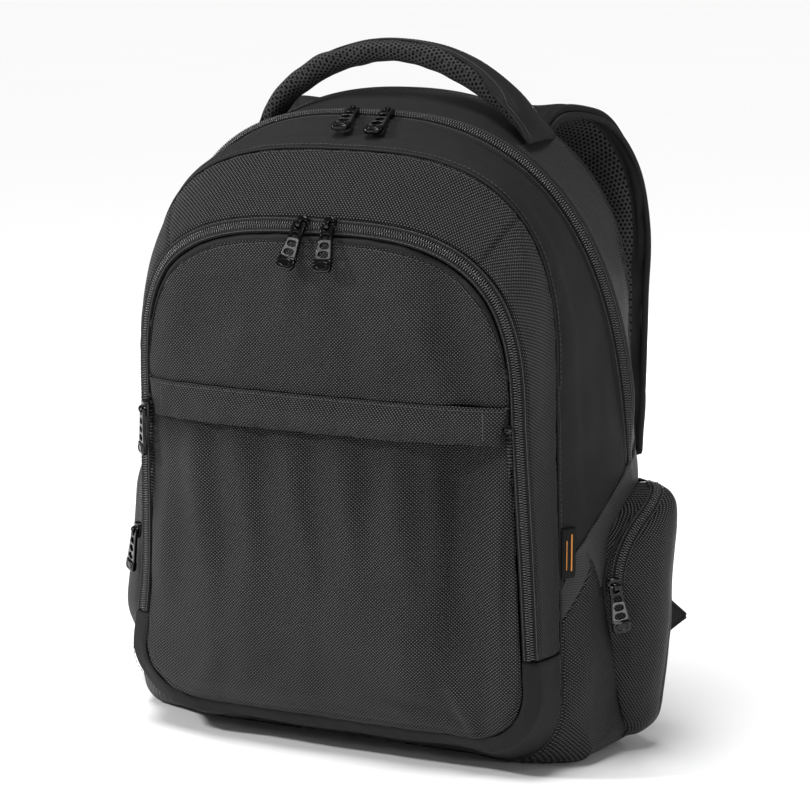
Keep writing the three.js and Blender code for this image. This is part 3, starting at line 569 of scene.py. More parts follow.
class Shader:
    """A node material under construction; numbers and values both serve as inputs."""

    def __init__(self, name, level, roughness, metallic=0.0, specular=0.5):
        self.material = bpy.data.materials.new(name)
        self.material.use_nodes = True
        self.tree = self.material.node_tree
        self.surface = self.tree.nodes["Principled BSDF"]
        self.set("Roughness", roughness)
        self.set("Metallic", metallic)
        self.set("Specular IOR Level", specular)
        self.set("Base Color", (*grey(level), 1))

    def set(self, name, value):
        self.feed(self.surface.inputs[name], value)

    def node(self, kind, **values):
        made = self.tree.nodes.new(kind)
        for key, value in values.items():
            setattr(made, key, value)
        return made

    def feed(self, socket, value):
        if isinstance(value, Value):
            self.tree.links.new(value.socket, socket)
        else:
            socket.default_value = value

    def math(self, operation, *values):
        made = self.node("ShaderNodeMath", operation=operation)
        for socket, value in zip(made.inputs, values):
            self.feed(socket, value)
        return Value(self, made.outputs[0])

    def cloth(self):
        """The cloth's own coordinates in millimetres."""
        uv = self.node("ShaderNodeUVMap", uv_map="cloth")
        parts = self.node("ShaderNodeSeparateXYZ")
        self.tree.links.new(uv.outputs[0], parts.inputs[0])
        return Value(self, parts.outputs[0]), Value(self, parts.outputs[1])

    def noise(self, scale, detail=3.0, roughness=0.5):
        """Noise from 0 to 1 fixed to the object, with scale in waves per metre."""
        place = self.node("ShaderNodeTexCoord")
        made = self.node("ShaderNodeTexNoise")
        self.tree.links.new(place.outputs["Object"], made.inputs["Vector"])
        made.inputs["Scale"].default_value = scale
        made.inputs["Detail"].default_value = detail
        made.inputs["Roughness"].default_value = roughness
        return Value(self, made.outputs["Fac"])

    def tint(self, share, dark, light):
        """The base colour from dark to light; a bare number is a grey."""
        ramp = self.node("ShaderNodeMix", data_type="RGBA")
        self.feed(ramp.inputs["Factor"], share)
        ramp.inputs["A"].default_value = (*grey(dark), 1)
        ramp.inputs["B"].default_value = (*grey(light), 1)
        self.set("Base Color", Value(self, ramp.outputs["Result"]))

    def bump(self, height, distance, strength=1.0):
        made = self.node("ShaderNodeBump")
        made.inputs["Strength"].default_value = strength
        made.inputs["Distance"].default_value = distance
        self.feed(made.inputs["Height"], height)
        self.set("Normal", Value(self, made.outputs["Normal"]))

    def sheen(self, weight, roughness=0.5):
        self.set("Sheen Weight", weight)
        self.set("Sheen Roughness", roughness)
        return self


def grey(level):
    return level if isinstance(level, tuple) else (level, level, level)


def arc(share):
    """A rounded thread over each unit of share: 0 at its edges and 1 in the middle."""
    off = share.shader.math("FRACT", share) * 2.0 - 1.0
    return 1.0 - off * off


def weave_material(name, thread, dark, light, roughness, depth, under_thread_shade=0.3):
    """Plain weave of thick threads with worn patches: its base colour has a painted glint on each upper thread
    and painted shade on the lower threads and in the gaps between.
    """
    s = Shader(name, light, roughness, specular=0.16).sheen(0.02, 0.4)
    u, v = (length / thread for length in s.cloth())
    over = (s.math("FLOOR", u) + s.math("FLOOR", v)) % 2.0
    warp, weft = arc(u), arc(v)
    height = mix(warp, weft, over) * 0.5 + warp * weft * 0.5
    patches, fibre = s.noise(14, 4), s.noise(2600, 2)
    # Painted glint and shade: brightest on the top of each upper thread, dark on the lower threads and between
    # threads.
    painted_glint_and_shade = height ** 2.2 * mix(under_thread_shade, 1.15, over)
    worn = mix(0.75, 1.2, patches) + (fibre - 0.5) * 0.3
    s.tint(painted_glint_and_shade * worn, dark, light)
    s.set("Roughness", mix(roughness + 0.2, roughness - 0.04, height))
    s.bump(height + fibre * 0.15, depth * MM, 0.85)
    return s.material


def ribbed_material(name, rib, dark, light, roughness):
    """Cloth with fine ribs along its width."""
    s = Shader(name, light, roughness, specular=0.16).sheen(0.02, 0.4)
    u, v = s.cloth()
    height = arc(v / rib) * 0.75 + arc(u / (rib * 0.6)) * 0.25
    patches = s.noise(16, 4)
    # The base colour follows the ribs' height: painted shade in the grooves between ribs, plus random patches.
    s.tint(height * 0.7 + patches * 0.3, dark, light)
    s.set("Roughness", mix(roughness + 0.07, roughness - 0.07, patches))
    s.bump(height, 0.16 * MM, 0.7)
    return s.material


def mesh_material(name, cell, dark, light):
    """Knitted spacer mesh: a honeycomb of round holes, whose darkness inside is painted shade."""
    s = Shader(name, light, 0.8, specular=0.12).sheen(0.02, 0.5)
    u, v = s.cloth()
    tall = cell * math.sqrt(3)

    def hole(shift):
        a = (s.math("FRACT", u / cell + shift) - 0.5) * cell
        b = (s.math("FRACT", v / tall + shift) - 0.5) * tall
        return s.math("SQRT", a * a + b * b)

    rise = s.node("ShaderNodeMapRange", interpolation_type="SMOOTHSTEP")
    s.feed(rise.inputs["Value"], s.math("MINIMUM", hole(0.0), hole(0.5)))
    rise.inputs["From Min"].default_value = cell * 0.2
    rise.inputs["From Max"].default_value = cell * 0.42
    wall = Value(s, rise.outputs["Result"])
    knit = s.noise(1800, 2)
    # Painted shade: the base colour is dark down in the holes and lighter on the walls between them.
    s.tint(wall * mix(0.75, 1.0, knit), dark, light)
    s.bump(wall + knit * 0.12, 0.9 * MM, 0.9)
    return s.material


def coil_material(name, level, roughness):
    s = Shader(name, level, roughness, specular=0.5)
    speck = s.noise(900, 2)
    s.tint(speck, level * 0.7, level * 1.3)
    s.set("Roughness", mix(roughness - 0.06, roughness + 0.06, speck))
    s.bump(speck, 0.03 * MM, 0.4)
    return s.material


def metal_material(name, level, roughness, metallic, specular, cast):
    """Black plated metal with faint smudges and a slight unevenness of the casting."""
    s = Shader(name, level, roughness, metallic, specular)
    smudge = s.noise(260, 4, 0.6)
    s.tint(smudge, level * 0.85, level * 1.15)
    s.set("Roughness", mix(roughness * 0.75, roughness * 1.35, smudge))
    s.bump(s.noise(300, 2), 0.02 * MM, cast)
    return s.material


def thread_material(name, color):
    s = Shader(name, color, 0.6).sheen(0.2)
    twist = s.noise(1500, 2)
    s.tint(twist, tuple(c * 0.65 for c in color), tuple(c * 1.25 for c in color))
    s.bump(twist, 0.05 * MM, 0.5)
    return s.material


def floor_material():
    s = Shader("pale_floor", 0.96, 0.75, specular=0.2)
    s.tint(s.noise(1.5, 3), 0.95, 0.97)
    s.bump(s.noise(120, 3), 0.05 * MM, 0.1)
    return s.material


WEAVE = weave_material("ballistic_weave", 1.16, 0.0002, 0.13, 0.38, 0.85, 0.03)
FINE = weave_material("fine_weave", 0.42, 0.002, 0.028, 0.55, 0.1, 0.6)
FACING = weave_material("facing_weave", 0.5, 0.002, 0.036, 0.55, 0.12, 0.6)
RIBBED = ribbed_material("ribbed_cloth", 1.7, 0.0005, 0.062, 0.5)
AIR_MESH = mesh_material("air_mesh", 3.1, 0.0008, 0.055)
BACK_MESH = mesh_material("back_mesh", 4.2, 0.001, 0.045)
TAPE = ribbed_material("zipper_tape", 0.7, 0.002, 0.012, 0.6)
COIL = coil_material("zipper_coil", 0.06, 0.22)
THREAD = thread_material("sewing_thread", grey(0.035))
PIPING = weave_material("piping_cloth", 0.4, 0.005, 0.034, 0.48, 0.08, 0.6)
WEBBING = ribbed_material("webbing", 1.4, 0.003, 0.03, 0.5)
METAL = metal_material("black_metal", 0.002, 0.07, 0.0, 0.36, 0.05)
SATIN = metal_material("satin_metal", 0.13, 0.22, 0.9, 0.5, 0.2)
PLASTIC = coil_material("black_plastic", 0.008, 0.4)
LABEL_CLOTH = weave_material("label_cloth", 0.35, 0.003, 0.014, 0.6, 0.06, 0.6)
ORANGE = thread_material("orange_thread", (0.75, 0.27, 0.02))

# Body panels

MAIN_REACH = 7 * MM  # half of the main zipper with its facings
OPENING = 2.7 * MM  # from a zipper's middle to the fold of its facing
HANDLE_FIELD = 104 * MM  # half of the smooth cloth under the handle
TUCK = 0.0014  # way by which the gussets pass under the wings
WING_TOP = 206 * MM  # height at which the main zipper leaves the wings

wing_rows = np.concatenate([spread(15, 0.6), 1 + spread(25, 0.4)[1:], 2 + spread(27, 0.6)[1:]])
wing_ways = crossing(body_point, wing_rows, over_wing, 0.12)


def ring_grid(point_at, rows, starts, ends, count):
    """Points for each row from its own start to its own end, at even steps round the bag."""
    return np.stack([point_at(even_ways(a, b, count), v) for v, a, b in zip(rows, starts, ends)])


def upper_start(rows):
    """The way at which a row of the body's side passes over the wing."""
    return np.interp(rows, wing_rows, wing_ways)


SHOULDER_CREASES = [
    ((150, 62, 300), (168, 48, 215), 9, -1.6), ((140, 30, 330), (172, 20, 240), 8, 1.0),
    ((-160, 40, 330), (-172, 40, 230), 12, -1.6), ((166, 10, 300), (174, 10, 205), 7, -1.0),
    ((60, 20, 436), (110, 40, 425), 12, -0.8), ((-60, 20, 436), (-120, 40, 415), 12, -0.9),
]


def beside_main(way, t, forward):
    """From the front seam to the main zipper's facing, or from it to the back seam, as t goes from 0 to 1."""
    side, main, back = (seam_point(name, way) for name in ("side", "main", "back"))
    far = np.linalg.norm((side if forward else back) - main, axis=-1)
    cut = np.minimum(MAIN_REACH / far, 0.5)
    return (2 - cut) * t if forward else mix(2 + cut, 3, t)


def above_wings(z):
    return clip01((z - WING_TOP) / (45 * MM))


def turned(points):
    """How far the main zipper is turned to the front: not over the sliders, nor where it meets the wings."""
    return clip01((np.abs(points[..., 0]) - 40 * MM) / (60 * MM)) * above_wings(points[..., 2])


def gusset(name, forward, count, seed, material):
    shares = spread(count, 0.5)
    starts = upper_start(2 * shares if forward else 2 + shares)
    for _ in range(3):
        starts = upper_start(beside_main(starts, shares, forward))
    grid = []
    for t, start in zip(shares, starts):
        ways = even_ways(start - TUCK, 1 - start + TUCK, 460)
        grid.append(body_point(ways, beside_main(ways, t, forward)))
    panel = Panel(grid).sew(sway=1.4, end_roll=1.5, seed=seed, creases=SHOULDER_CREASES)
    side = panel.edge_distances()[0]
    left = (panel.points[..., 0] < 0) * bell(panel.points[..., 2] - 300 * MM, 90)
    panel.push(-(1.2 + 1.5 * left) * MM * (1 - np.exp(-side / (12 * MM))))
    aside = turned(panel.points)
    near = panel.from_first()
    near = near.max(0) - near if forward else near
    panel.push((-3.6 if forward else 2.6) * MM * aside * np.exp(-near / (16 * MM)))
    if len(material) > 1:
        panel.zone = (np.abs(panel.points[..., 0]) < HANDLE_FIELD).astype(float)
    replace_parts(lay(name, panel, material), name)
    return panel


front_gusset = gusset("front_gusset", True, 34, 3, [FACING])
rear_gusset = gusset("rear_gusset", False, 30, 5, [WEAVE, FACING])


TOOTH = bar_shape(2.7 * MM, 1.05 * MM, 1.25 * MM, [(0, 0.6), (0.12, 0.95), (0.6, 0.9), (1, 0.7)], 6)
TOOTH_PITCH = 1.75 * MM


def zipper(name, points, normals, left, right, sag=(0.0, 0.0), proud=0.5 * MM):
    """A zipper along a line: two folded facings over a tape, two rows of teeth and two of stitches.
    left and right are how far its facings reach, and sag how far their outer edges lie below the line."""
    line = Line(points, normals, 3 * MM, 1 * MM)

    def facing(reach, drop):
        folds = [
            (OPENING - 0.1 * MM, -0.6 * MM), (OPENING, 0.45 * MM), (OPENING + 0.6 * MM, 0.7 * MM),
            (mix(OPENING, reach, 0.55), 0.55 * MM), (reach - 0.9 * MM, 0.2 * MM), (reach, -0.9 * MM),
        ]
        return [(a, up - drop * (a / reach) ** 2) for a, up in folds]

    section = [(-a, up) for a, up in reversed(facing(left, sag[0]))]
    section += [(-OPENING / 2, -0.7 * MM), (OPENING / 2, -0.7 * MM)] + facing(right, sag[1])
    panel = sweep(line, section, False)
    middle = line.points[::-1] if panel.flipped else line.points
    aside = np.linalg.norm(panel.points - middle[:, None], axis=-1)
    panel.zone = (aside < OPENING).astype(float)
    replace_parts(lay(name, panel, [FACING, TAPE], 0.5 * MM), name)
    rows = []
    for way, shift in ((-1, 0), (1, TOOTH_PITCH / 2)):
        row = Line(line.points, line.normals, TOOTH_PITCH, shift + 0.5 * MM)
        shape = [(way * (y + 1.25 * MM), x, z + proud) for x, y, z in TOOTH[0]]
        faces = TOOTH[1] if way < 0 else [tuple(reversed(face)) for face in TOOTH[1]]
        rows.append(copies(f"{name}_row", row, shape, faces, COIL))
    join_rows(f"{name}_teeth", rows)
    seams = []
    for way, drop in ((-1, sag[0]), (1, sag[1])):
        far = OPENING + 1.6 * MM
        at = line.points + line.sides * way * far + line.normals * (0.6 * MM - drop * (far / right) ** 2)
        seams.append(stitches(f"{name}_seam", at, line.normals, 2.9 * MM))
    join_rows(f"{name}_stitches", seams)


def surface_line(point_at, ways, v, step):
    """A line on a surface with its normals."""
    before, here, after = (point_at(ways, v + k * step) for k in (-1, 0, 1))
    along = np.gradient(here, axis=0)
    normals = unit(np.cross(along, after - before))
    return here, normals * np.sign(np.sum(normals * (here - CENTRE)))


ends = np.interp(2, wing_rows, wing_ways)
points, normals = surface_line(body_point, even_ways(ends, 1 - ends, 700), 2, 0.15)
low = above_wings(points[:, 2:])
normals = unit(normals - np.array([0, 1, 0]) * (0.42 * low + 0.5 * turned(points)[:, None]))
points = points + normals * mix(-1.8 * MM, 0.8 * MM, low)
zipper("main_zipper", points, normals, MAIN_REACH + 1.6 * MM, MAIN_REACH + 1.6 * MM,
       (-0.8 * MM, 3.0 * MM), 1.5 * MM)

# Lower side panels and bottom

base_rows = np.concatenate([spread(11, 0.6), 1 + spread(21, 0.5)[1:], 2 + spread(21, 0.6)[1:]])
base_ways = crossing(body_point, base_rows, lambda p: p[..., 0] - BASE_HALF, 0.001)
edge_ways = np.interp(base_rows, wing_rows, wing_ways)
RIB_LINE = np.array([(-20, 105), (2.6, 146), (11, 124), (40, 100), (80, 96)]) * MM


def over_ribs(points):
    return points[..., 2] - np.interp(points[..., 1], RIB_LINE[:, 0], RIB_LINE[:, 1])


rib_ways = np.minimum(crossing(body_point, base_rows, over_ribs, 0.1), edge_ways - 0.004)
LOWER_COLUMNS = 84
WING_CREASES = [
    ((167, 0, 150), (171, 12, 118), 2.5, -1.6), ((168, 4, 140), (166, 4, 85), 10, 1.0),
    ((165, -8, 120), (160, -14, 40), 7, -0.9), ((172, 18, 120), (172, 30, 45), 8, -1.2),
    ((-168, 4, 140), (-168, 6, 60), 12, -1.2),
]


def make_wing(side):
    sign = SIGNS[side]
    grid = []
    for v, low, rib, high in zip(base_rows, base_ways, rib_ways, edge_ways):
        ways = np.append(even_ways(low + 0.0006, rib, LOWER_COLUMNS), even_ways(rib, high + 0.0004, 34)[1:])
        grid.append(body_point(ways if sign > 0 else 1 - ways, v))
    panel = Panel(grid).sew(sway=1.5, end_roll=-0.3, seed=7 + sign, creases=WING_CREASES)
    from_rib = panel.along - panel.along[:, LOWER_COLUMNS - 1:LOWER_COLUMNS]
    panel.push(-0.9 * MM * bell(from_rib, 1.2))
    panel.zone = (from_rib > 0.2 * MM).astype(float)
    panel.flat = (panel.points[..., 1], panel.points[..., 2])
    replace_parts(lay("wing_" + side, panel, [WEAVE, RIBBED]), "wing_" + side)


for side in SIGNS:
    make_wing(side)

grid = [body_point(even_ways(-w + 0.0006, w - 0.0006, 90), v) for v, w in zip(base_rows, base_ways)]
bottom = Panel(grid).sew(sway=0.0, roll=0.6, pucker=0.0, seed=11)
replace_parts(lay("bottom_panel", bottom, WEAVE), "bottom_panel")

# Front wall


def over_base(points):
    return points[..., 2] - BASE_TOP


BAND_CREASES = [
    ((131, 385), (111, 344), 1.5, -1.5), ((-131, 385), (-111, 344), 1.5, -1.5),
    ((60, 400), (-60, 400), 14, 0.9), ((105, 385), (60, 392), 9, -1.1), ((150, 260), (150, 160), 6, -1.2),
    ((-150, 260), (-150, 160), 6, -1.2),
]
band_rows = spread(26, 0.6)
band_ways = crossing(front_point, band_rows, over_base, 0.1)
front_band = Panel(ring_grid(front_point, band_rows, band_ways + 0.0005, 0.9995 - band_ways, 480))
front_band.sew(sway=1.4, seed=13, creases=BAND_CREASES)
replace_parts(lay("front_band", front_band, WEAVE), "front_band")

BASE_CREASES = [
    ((150, 80), (120, 22), 8, 1.0), ((-150, 80), (-120, 22), 8, 1.0), ((60, 14), (-60, 14), 7, 0.8),
]
base_shares = np.concatenate([spread(20, 0.6), 1 + spread(10, 0.3)[1:]])
top_ways = crossing(front_point, base_shares, over_base, 0.1)
front_base = Panel(ring_grid(front_point, base_shares, -top_ways, top_ways, 300))
front_base.sew(sway=1.6, roll=1.0, seed=15, creases=BASE_CREASES)
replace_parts(lay("front_base", front_base, FACING), "front_base")

zip_way = float(np.interp(1.5, base_shares, top_ways))
points, normals = surface_line(front_point, even_ways(zip_way, 1 - zip_way, 700), 1.5, 0.45)
zipper("front_zipper", points, normals, FRONT_TAPE / 2, FRONT_TAPE / 2)

# Pocket face

FACING_REACH = 5 * MM  # smooth facing on the pocket's upper rim
POCKET_FOLDS = [
    ((-96, 236), (-90, 130), 9, 1.6), ((-80, 246), (-72, 120), 8, -3.4), ((-62, 236), (-52, 150), 8, 1.8),
    ((-44, 246), (-36, 130), 8, -3.4), ((-24, 235), (-14, 165), 8, 1.8), ((-6, 246), (4, 120), 8, -3.6),
    ((14, 236), (24, 160), 8, 2.0), ((34, 246), (40, 130), 8, -3.6), ((54, 236), (58, 165), 8, 2.0),
    ((72, 236), (74, 135), 8, -2.0), ((86, 236), (88, 100), 10, 1.8), ((100, 275), (98, 66), 21, -14.0),
    ((-108, 225), (-112, 110), 10, -1.8), ((108, 30), (90, 66), 5, 3.0), ((113, 33), (116, 90), 6, -2.4),
    ((108, 38), (50, 50), 6, -2.4), ((-105, 36), (-76, 74), 9, 2.6), ((-60, 48), (-20, 78), 8, -2.0),
    ((-30, 44), (40, 52), 8, 1.6), ((124, 60), (126, 200), 5, 2.4),
]
UPPER_FOLDS = [
    ((86, 345), (112, 245), 15, -8.0), ((108, 345), (128, 265), 7, 3.2), ((60, 325), (90, 262), 10, 2.2),
    ((-80, 335), (-98, 262), 12, -2.0), ((-20, 350), (0, 272), 15, 1.6), ((22, 310), (28, 260), 8, -1.8),
    ((44, 300), (50, 260), 8, 1.4), ((-50, 320), (-60, 262), 9, 1.4),
]


def rim_point(way, _):
    return seam_point("pocket", way, RIM_INSET)


def rim_way(level):
    """The way at which the pocket's rim reaches a level."""
    return float(crossing(rim_point, 0, lambda p: p[..., 2] - level, 0.1)[0])


def rim_panel(start, end, level, shares, count):
    """Pocket face between the rim, from one way on it to another, and a level line across the pocket."""
    ways = even_ways(start, end, count)
    rim = seam_point("pocket", ways, RIM_INSET)
    half = float(seam_half("pocket", level, RIM_INSET))
    steps = np.append(0, np.cumsum(np.linalg.norm(np.diff(rim, axis=0), axis=1)))
    foot = mix(rim[0, 0], rim[-1, 0], 0.5 - 0.5 * np.cos(math.pi * steps / steps[-1])) * half / abs(rim[0, 0])
    grid = []
    for t in shares:
        x, z = mix(rim[:, 0], foot, t), mix(rim[:, 2], level, t)
        wide = np.maximum(seam_half("pocket", z, RIM_INSET), np.abs(x))
        grid.append(np.stack([x, pocket_depth(x / wide, z), z], -1))
    return grid


def flat_uv(panel):
    """Weave that runs straight across and up the pocket face."""
    panel.flat = (panel.points[..., 0], panel.points[..., 2])
    return panel


level_way = rim_way(FLAP_SEAM)
shares = np.append(np.linspace(0, 0.1, 9), 0.1 + 0.9 * spread(46, 0.4)[1:])
pocket_upper = flat_uv(Panel(rim_panel(level_way + 0.0005, 0.9995 - level_way, FLAP_SEAM, shares, 230)))
from_rim = pocket_upper.from_first()
pocket_upper.sew(sway=1.5, roll=1.0, seed=17, creases=UPPER_FOLDS)
below = pocket_upper.across.max(0) - from_rim
pocket_upper.push(0.7 * MM * bell(below, 1.7))
pocket_upper.push(0.5 * MM * (from_rim < FACING_REACH) - 1.1 * MM * bell(from_rim - FACING_REACH, 1))
pocket_upper.zone = (from_rim < FACING_REACH).astype(float)
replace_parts(lay("pocket_upper", pocket_upper, [WEAVE, FACING]), "pocket_upper")

ZIP_LOW = FLAP_SEAM - FLAP_ZIP
level_way = rim_way(ZIP_LOW)
shares = np.append(np.linspace(0, 0.08, 8), 0.08 + 0.92 * spread(70, 0.4)[1:])
pocket_lower = flat_uv(Panel(rim_panel(-level_way + 0.0005, level_way - 0.0005, ZIP_LOW, shares, 300)))
from_rim = pocket_lower.from_first()
pocket_lower.sew(sway=1.8, roll=1.0, seed=19, creases=POCKET_FOLDS)
pocket_lower.push(-0.7 * MM * bell(from_rim - 5 * MM, 1.5))
under_flap = bell(pocket_lower.points[..., 2] - ZIP_LOW, 16)
pocket_lower.push(-3.6 * MM * under_flap * (1 - np.abs(pocket_lower.points[..., 0] / (140 * MM)) ** 8))
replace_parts(lay("pocket_lower", pocket_lower, [WEAVE]), "pocket_lower")


def level_panel(low, high, rows, inset, lift_at):
    """A stretch of the pocket face between two levels, lifted off it by lift_at(share, across)."""
    across = np.linspace(-1, 1, 220)
    grid = []
    for t in np.linspace(0, 1, rows):
        z = mix(high, low, t)
        half = float(seam_half("pocket", z, RIM_INSET))
        x = across * (half - inset(t))
        grid.append(np.stack([x, pocket_depth(x / half, z) - lift_at(t, across), np.full_like(x, z)], -1))
    return Panel(grid)


tape_panel = level_panel(ZIP_LOW + GAP, FLAP_SEAM - GAP, 6, lambda t: 0, lambda t, across: -0.3 * MM)
flap_tape = flat_uv(tape_panel)
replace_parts(lay("flap_zipper", flap_tape, TAPE), "flap_zipper")
row = Line(*flap_tape.line(FLAP_ZIP / 2), TOOTH_PITCH, 4 * MM)
copies("flap_zipper_teeth", row, [(x, y, z + 0.3 * MM) for y, x, z in TOOTH[0]],
       [tuple(reversed(face)) for face in TOOTH[1]], COIL)

FLAP_FOLDS = [
    ((-60, 254), (-56, 234), 8, -0.8), ((20, 254), (24, 234), 8, -0.8), ((92, 256), (104, 234), 9, -2.4),
    ((60, 250), (64, 236), 6, 1.2), ((-100, 252), (-90, 236), 9, -1.4), ((-20, 254), (-14, 234), 8, -1.0),
]


def flap_lift(t, across):
    """The flap's fold stands off the pocket, most in the middle of its free edge."""
    ends = 1 - np.abs(across) ** 6
    return (1.4 + 6.2 * math.sin(math.pi * t * 0.8) ** 1.3 * ends) * MM


flap = level_panel(FLAP_SEAM - FLAP_DROP, FLAP_SEAM, 40, lambda t: FLAP_END_INSET * t, flap_lift)
flat_uv(flap).sew(sway=1.0, roll=0.3, seed=23, creases=FLAP_FOLDS)
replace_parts(lay("pocket_flap", flap, [WEAVE], 2 * MM), "pocket_flap")
stitches("flap_stitches", *flap.line(2.2 * MM), 3.2 * MM, 3 * MM)
TACK_HALF = 119 * MM
for side in ("left", "right"):
    x = SIGNS[side] * TACK_HALF
    place = on_pocket(np.array([x, x]), np.array([FLAP_SEAM - 3 * MM, FLAP_SEAM - FLAP_DROP + 4 * MM]))
    facing = np.array([[SIGNS[side] * 0.35, -1, 0]] * 2)
    stitches("flap_tack_" + side, place - [0, 4.6 * MM, 0], facing, 1.4 * MM, 1 * MM)

# Inner wall behind the front pocket


def upright(name, levels, columns, inset, depth_at):
    """A wall across the bag inside a seam, whose depth at a level is depth_at(level)."""
    across = np.linspace(-1, 1, columns)
    grid = []
    for z in levels:
        half = float(seam_half(name, z, inset))
        grid.append(np.stack([across * half, np.full(columns, depth_at(z)), np.full(columns, z)], -1))
    return Panel(grid)


levels = np.linspace(6 * MM, SEAMS["front"]["top"] - 4 * MM, 40)
divider = upright("front", levels, 40, 4 * MM, lambda z: seam_depth_at("front", z))
divider.sew(sway=0.4, roll=0.3, seed=25)
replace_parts(lay("pocket_divider", flat_uv(divider), FINE), "pocket_divider")

# Side pockets

SIDE_BACK = SEAMS["back"]["y_low"] - GAP
SIDE_CENTRE = np.array([0.12, 0.05, 0.1])
SIDE_FOLDS = [
    ((182, 24, 120), (178, 30, 45), 6, -1.4), ((200, 40, 165), (205, 50, 60), 14, 1.2),
    ((206, 58, 175), (200, 62, 80), 7, -1.2), ((188, 66, 40), (176, 40, 18), 5, -1.0),
    ((212, 30, 175), (214, 60, 182), 5, 0.8),
]


def side_half(y, z):
    """Half the body's width at a depth and height on its side."""
    depths = [seam_depth_at(name, z) for name in BODY_STOPS]
    halves = [seam_half(name, z) for name in BODY_STOPS]
    half = np.where(y < depths[0], halves[0], halves[3])
    for n in range(3):
        t = (y - depths[n]) / (depths[n + 1] - depths[n])
        inside = (y >= depths[n]) & (y <= depths[n + 1])
        half = np.where(inside, mix(halves[n], halves[n + 1], t) + BULGE * 4 * t * (1 - t), half)
    return half


def side_surface(side, across, row):
    """The pocket's face: across is 0 at its front edge and 1 at its back, row counts the table's rows."""
    across, row = np.broadcast_arrays(across, row)
    count = np.arange(len(SIDE_ROWS))
    y0, z0, z1, swell = (curved(count, SIDE_ROWS[:, k], row) for k in range(4))
    out = curved(SIDE_SECTION[:, 0], SIDE_SECTION[:, 1 if side == "right" else 2], across)
    y = mix(y0 * DEPTH / 2, SIDE_BACK, across)
    z = mix(z0, z1, across) * HEIGHT
    full = 0.93 if side == "right" else 0.88 + 0.62 * bell(z - 48 * MM, 42)
    x = side_half(y, z) + out * swell * full * SIDE_POCKET_DEPTH
    return np.stack([SIGNS[side] * x, y, z], -1)


def side_line(side, share, low=3.9, high=7.6):
    """The pocket's slanting zipper line, inside its front edge by share of the row."""
    rows = np.linspace(low, high, 120)
    shares = share + 0.3 * np.linspace(0, 1, 120) ** 2
    points = side_surface(side, shares, rows)
    ahead = side_surface(side, shares + 0.05, rows)
    normals = unit(np.cross(np.gradient(points, axis=0), ahead - points))
    outward = np.array([SIGNS[side], -0.4, 0.3])
    return points, normals * np.sign(np.sum(normals * outward, -1, keepdims=True))


def make_side_pocket(side):
    sign = SIGNS[side]
    across = np.append(np.linspace(0, 0.08, 8), 0.08 + 0.92 * spread(60, 0.5)[1:])
    rows = spread(110, 0.4) * (len(SIDE_ROWS) - 1)
    mirror = np.array([sign, 1, 1])
    panel = Panel(side_surface(side, across[:, None], rows[None]), inside=mirror * SIDE_CENTRE)
    folds = [(mirror * a, mirror * b, wide, push) for a, b, wide, push in SIDE_FOLDS]
    panel.sew(sway=1.4, roll=0.8, seed=27 + sign, creases=folds)
    panel.flat = (panel.across, panel.points[..., 2])
    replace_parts(lay("side_pocket_" + side, panel, [WEAVE]), "side_pocket_" + side)
    points, normals = side_line(side, 0.075)
    lift, proud = (1.4 * MM, 0.9 * MM) if side == "right" else (0.3 * MM, 0.2 * MM)
    points = points + normals * lift
    order = slice(None) if side == "right" else slice(None, None, -1)
    zipper("side_zipper_" + side, points[order], normals[order], 5 * MM, 5 * MM, (1.2 * MM, 1.2 * MM), proud)
    points, normals = side_line(side, 0.012, 3.6, 7.8)
    tube("side_piping_" + side, points, normals, SIDE_PIPING, PIPING)


for side in SIGNS:
    make_side_pocket(side)

# Handle

HANDLE_SPAN = 96 * MM
HANDLE_RISE = 61.5 * MM
HANDLE_FOOT = HEIGHT - 32 * MM
HANDLE_BACK = 50 * MM
GRIP_WIDE = 23 * MM
GRIP_THICK = 13 * MM
HANDLE_FALL = 1.26
HANDLE_SKEW = 7 * MM
CLOTH_FRAMES = 20


def inflate(piece, pressure, cap):
    """Blows a closed piece up as cloth, moves no point further than cap, and keeps the result."""
    cloth = piece.modifiers.new("cloth", "CLOTH")
    cloth.settings.use_pressure = True
    cloth.settings.uniform_pressure_force = pressure
    cloth.settings.effector_weights.gravity = 0
    cloth.settings.quality = 6
    cloth.settings.tension_stiffness = 12
    cloth.settings.bending_stiffness = 0.6
    cloth.settings.shrink_min = -0.04
    cloth.point_cache.frame_start = 1
    cloth.point_cache.frame_end = CLOTH_FRAMES
    for number in range(1, CLOTH_FRAMES + 1):
        bpy.context.scene.frame_set(number)
    solved = piece.evaluated_get(bpy.context.evaluated_depsgraph_get())
    count = len(piece.data.vertices)
    before, after = np.zeros(count * 3), np.zeros(count * 3)
    piece.data.vertices.foreach_get("co", before)
    solved.data.vertices.foreach_get("co", after)
    piece.modifiers.remove(cloth)
    bpy.context.scene.frame_set(1)
    moved = (after - before).reshape(-1, 3)
    far = np.linalg.norm(moved, axis=1, keepdims=True)
    moved *= np.minimum(1, cap / np.maximum(far, 1e-9))
    piece.data.vertices.foreach_set("co", (before.reshape(-1, 3) + moved).ravel())
    piece.data.update()


def refine(piece):
    smooth = piece.modifiers.new("smooth", "SUBSURF")
    smooth.levels = smooth.render_levels = 1


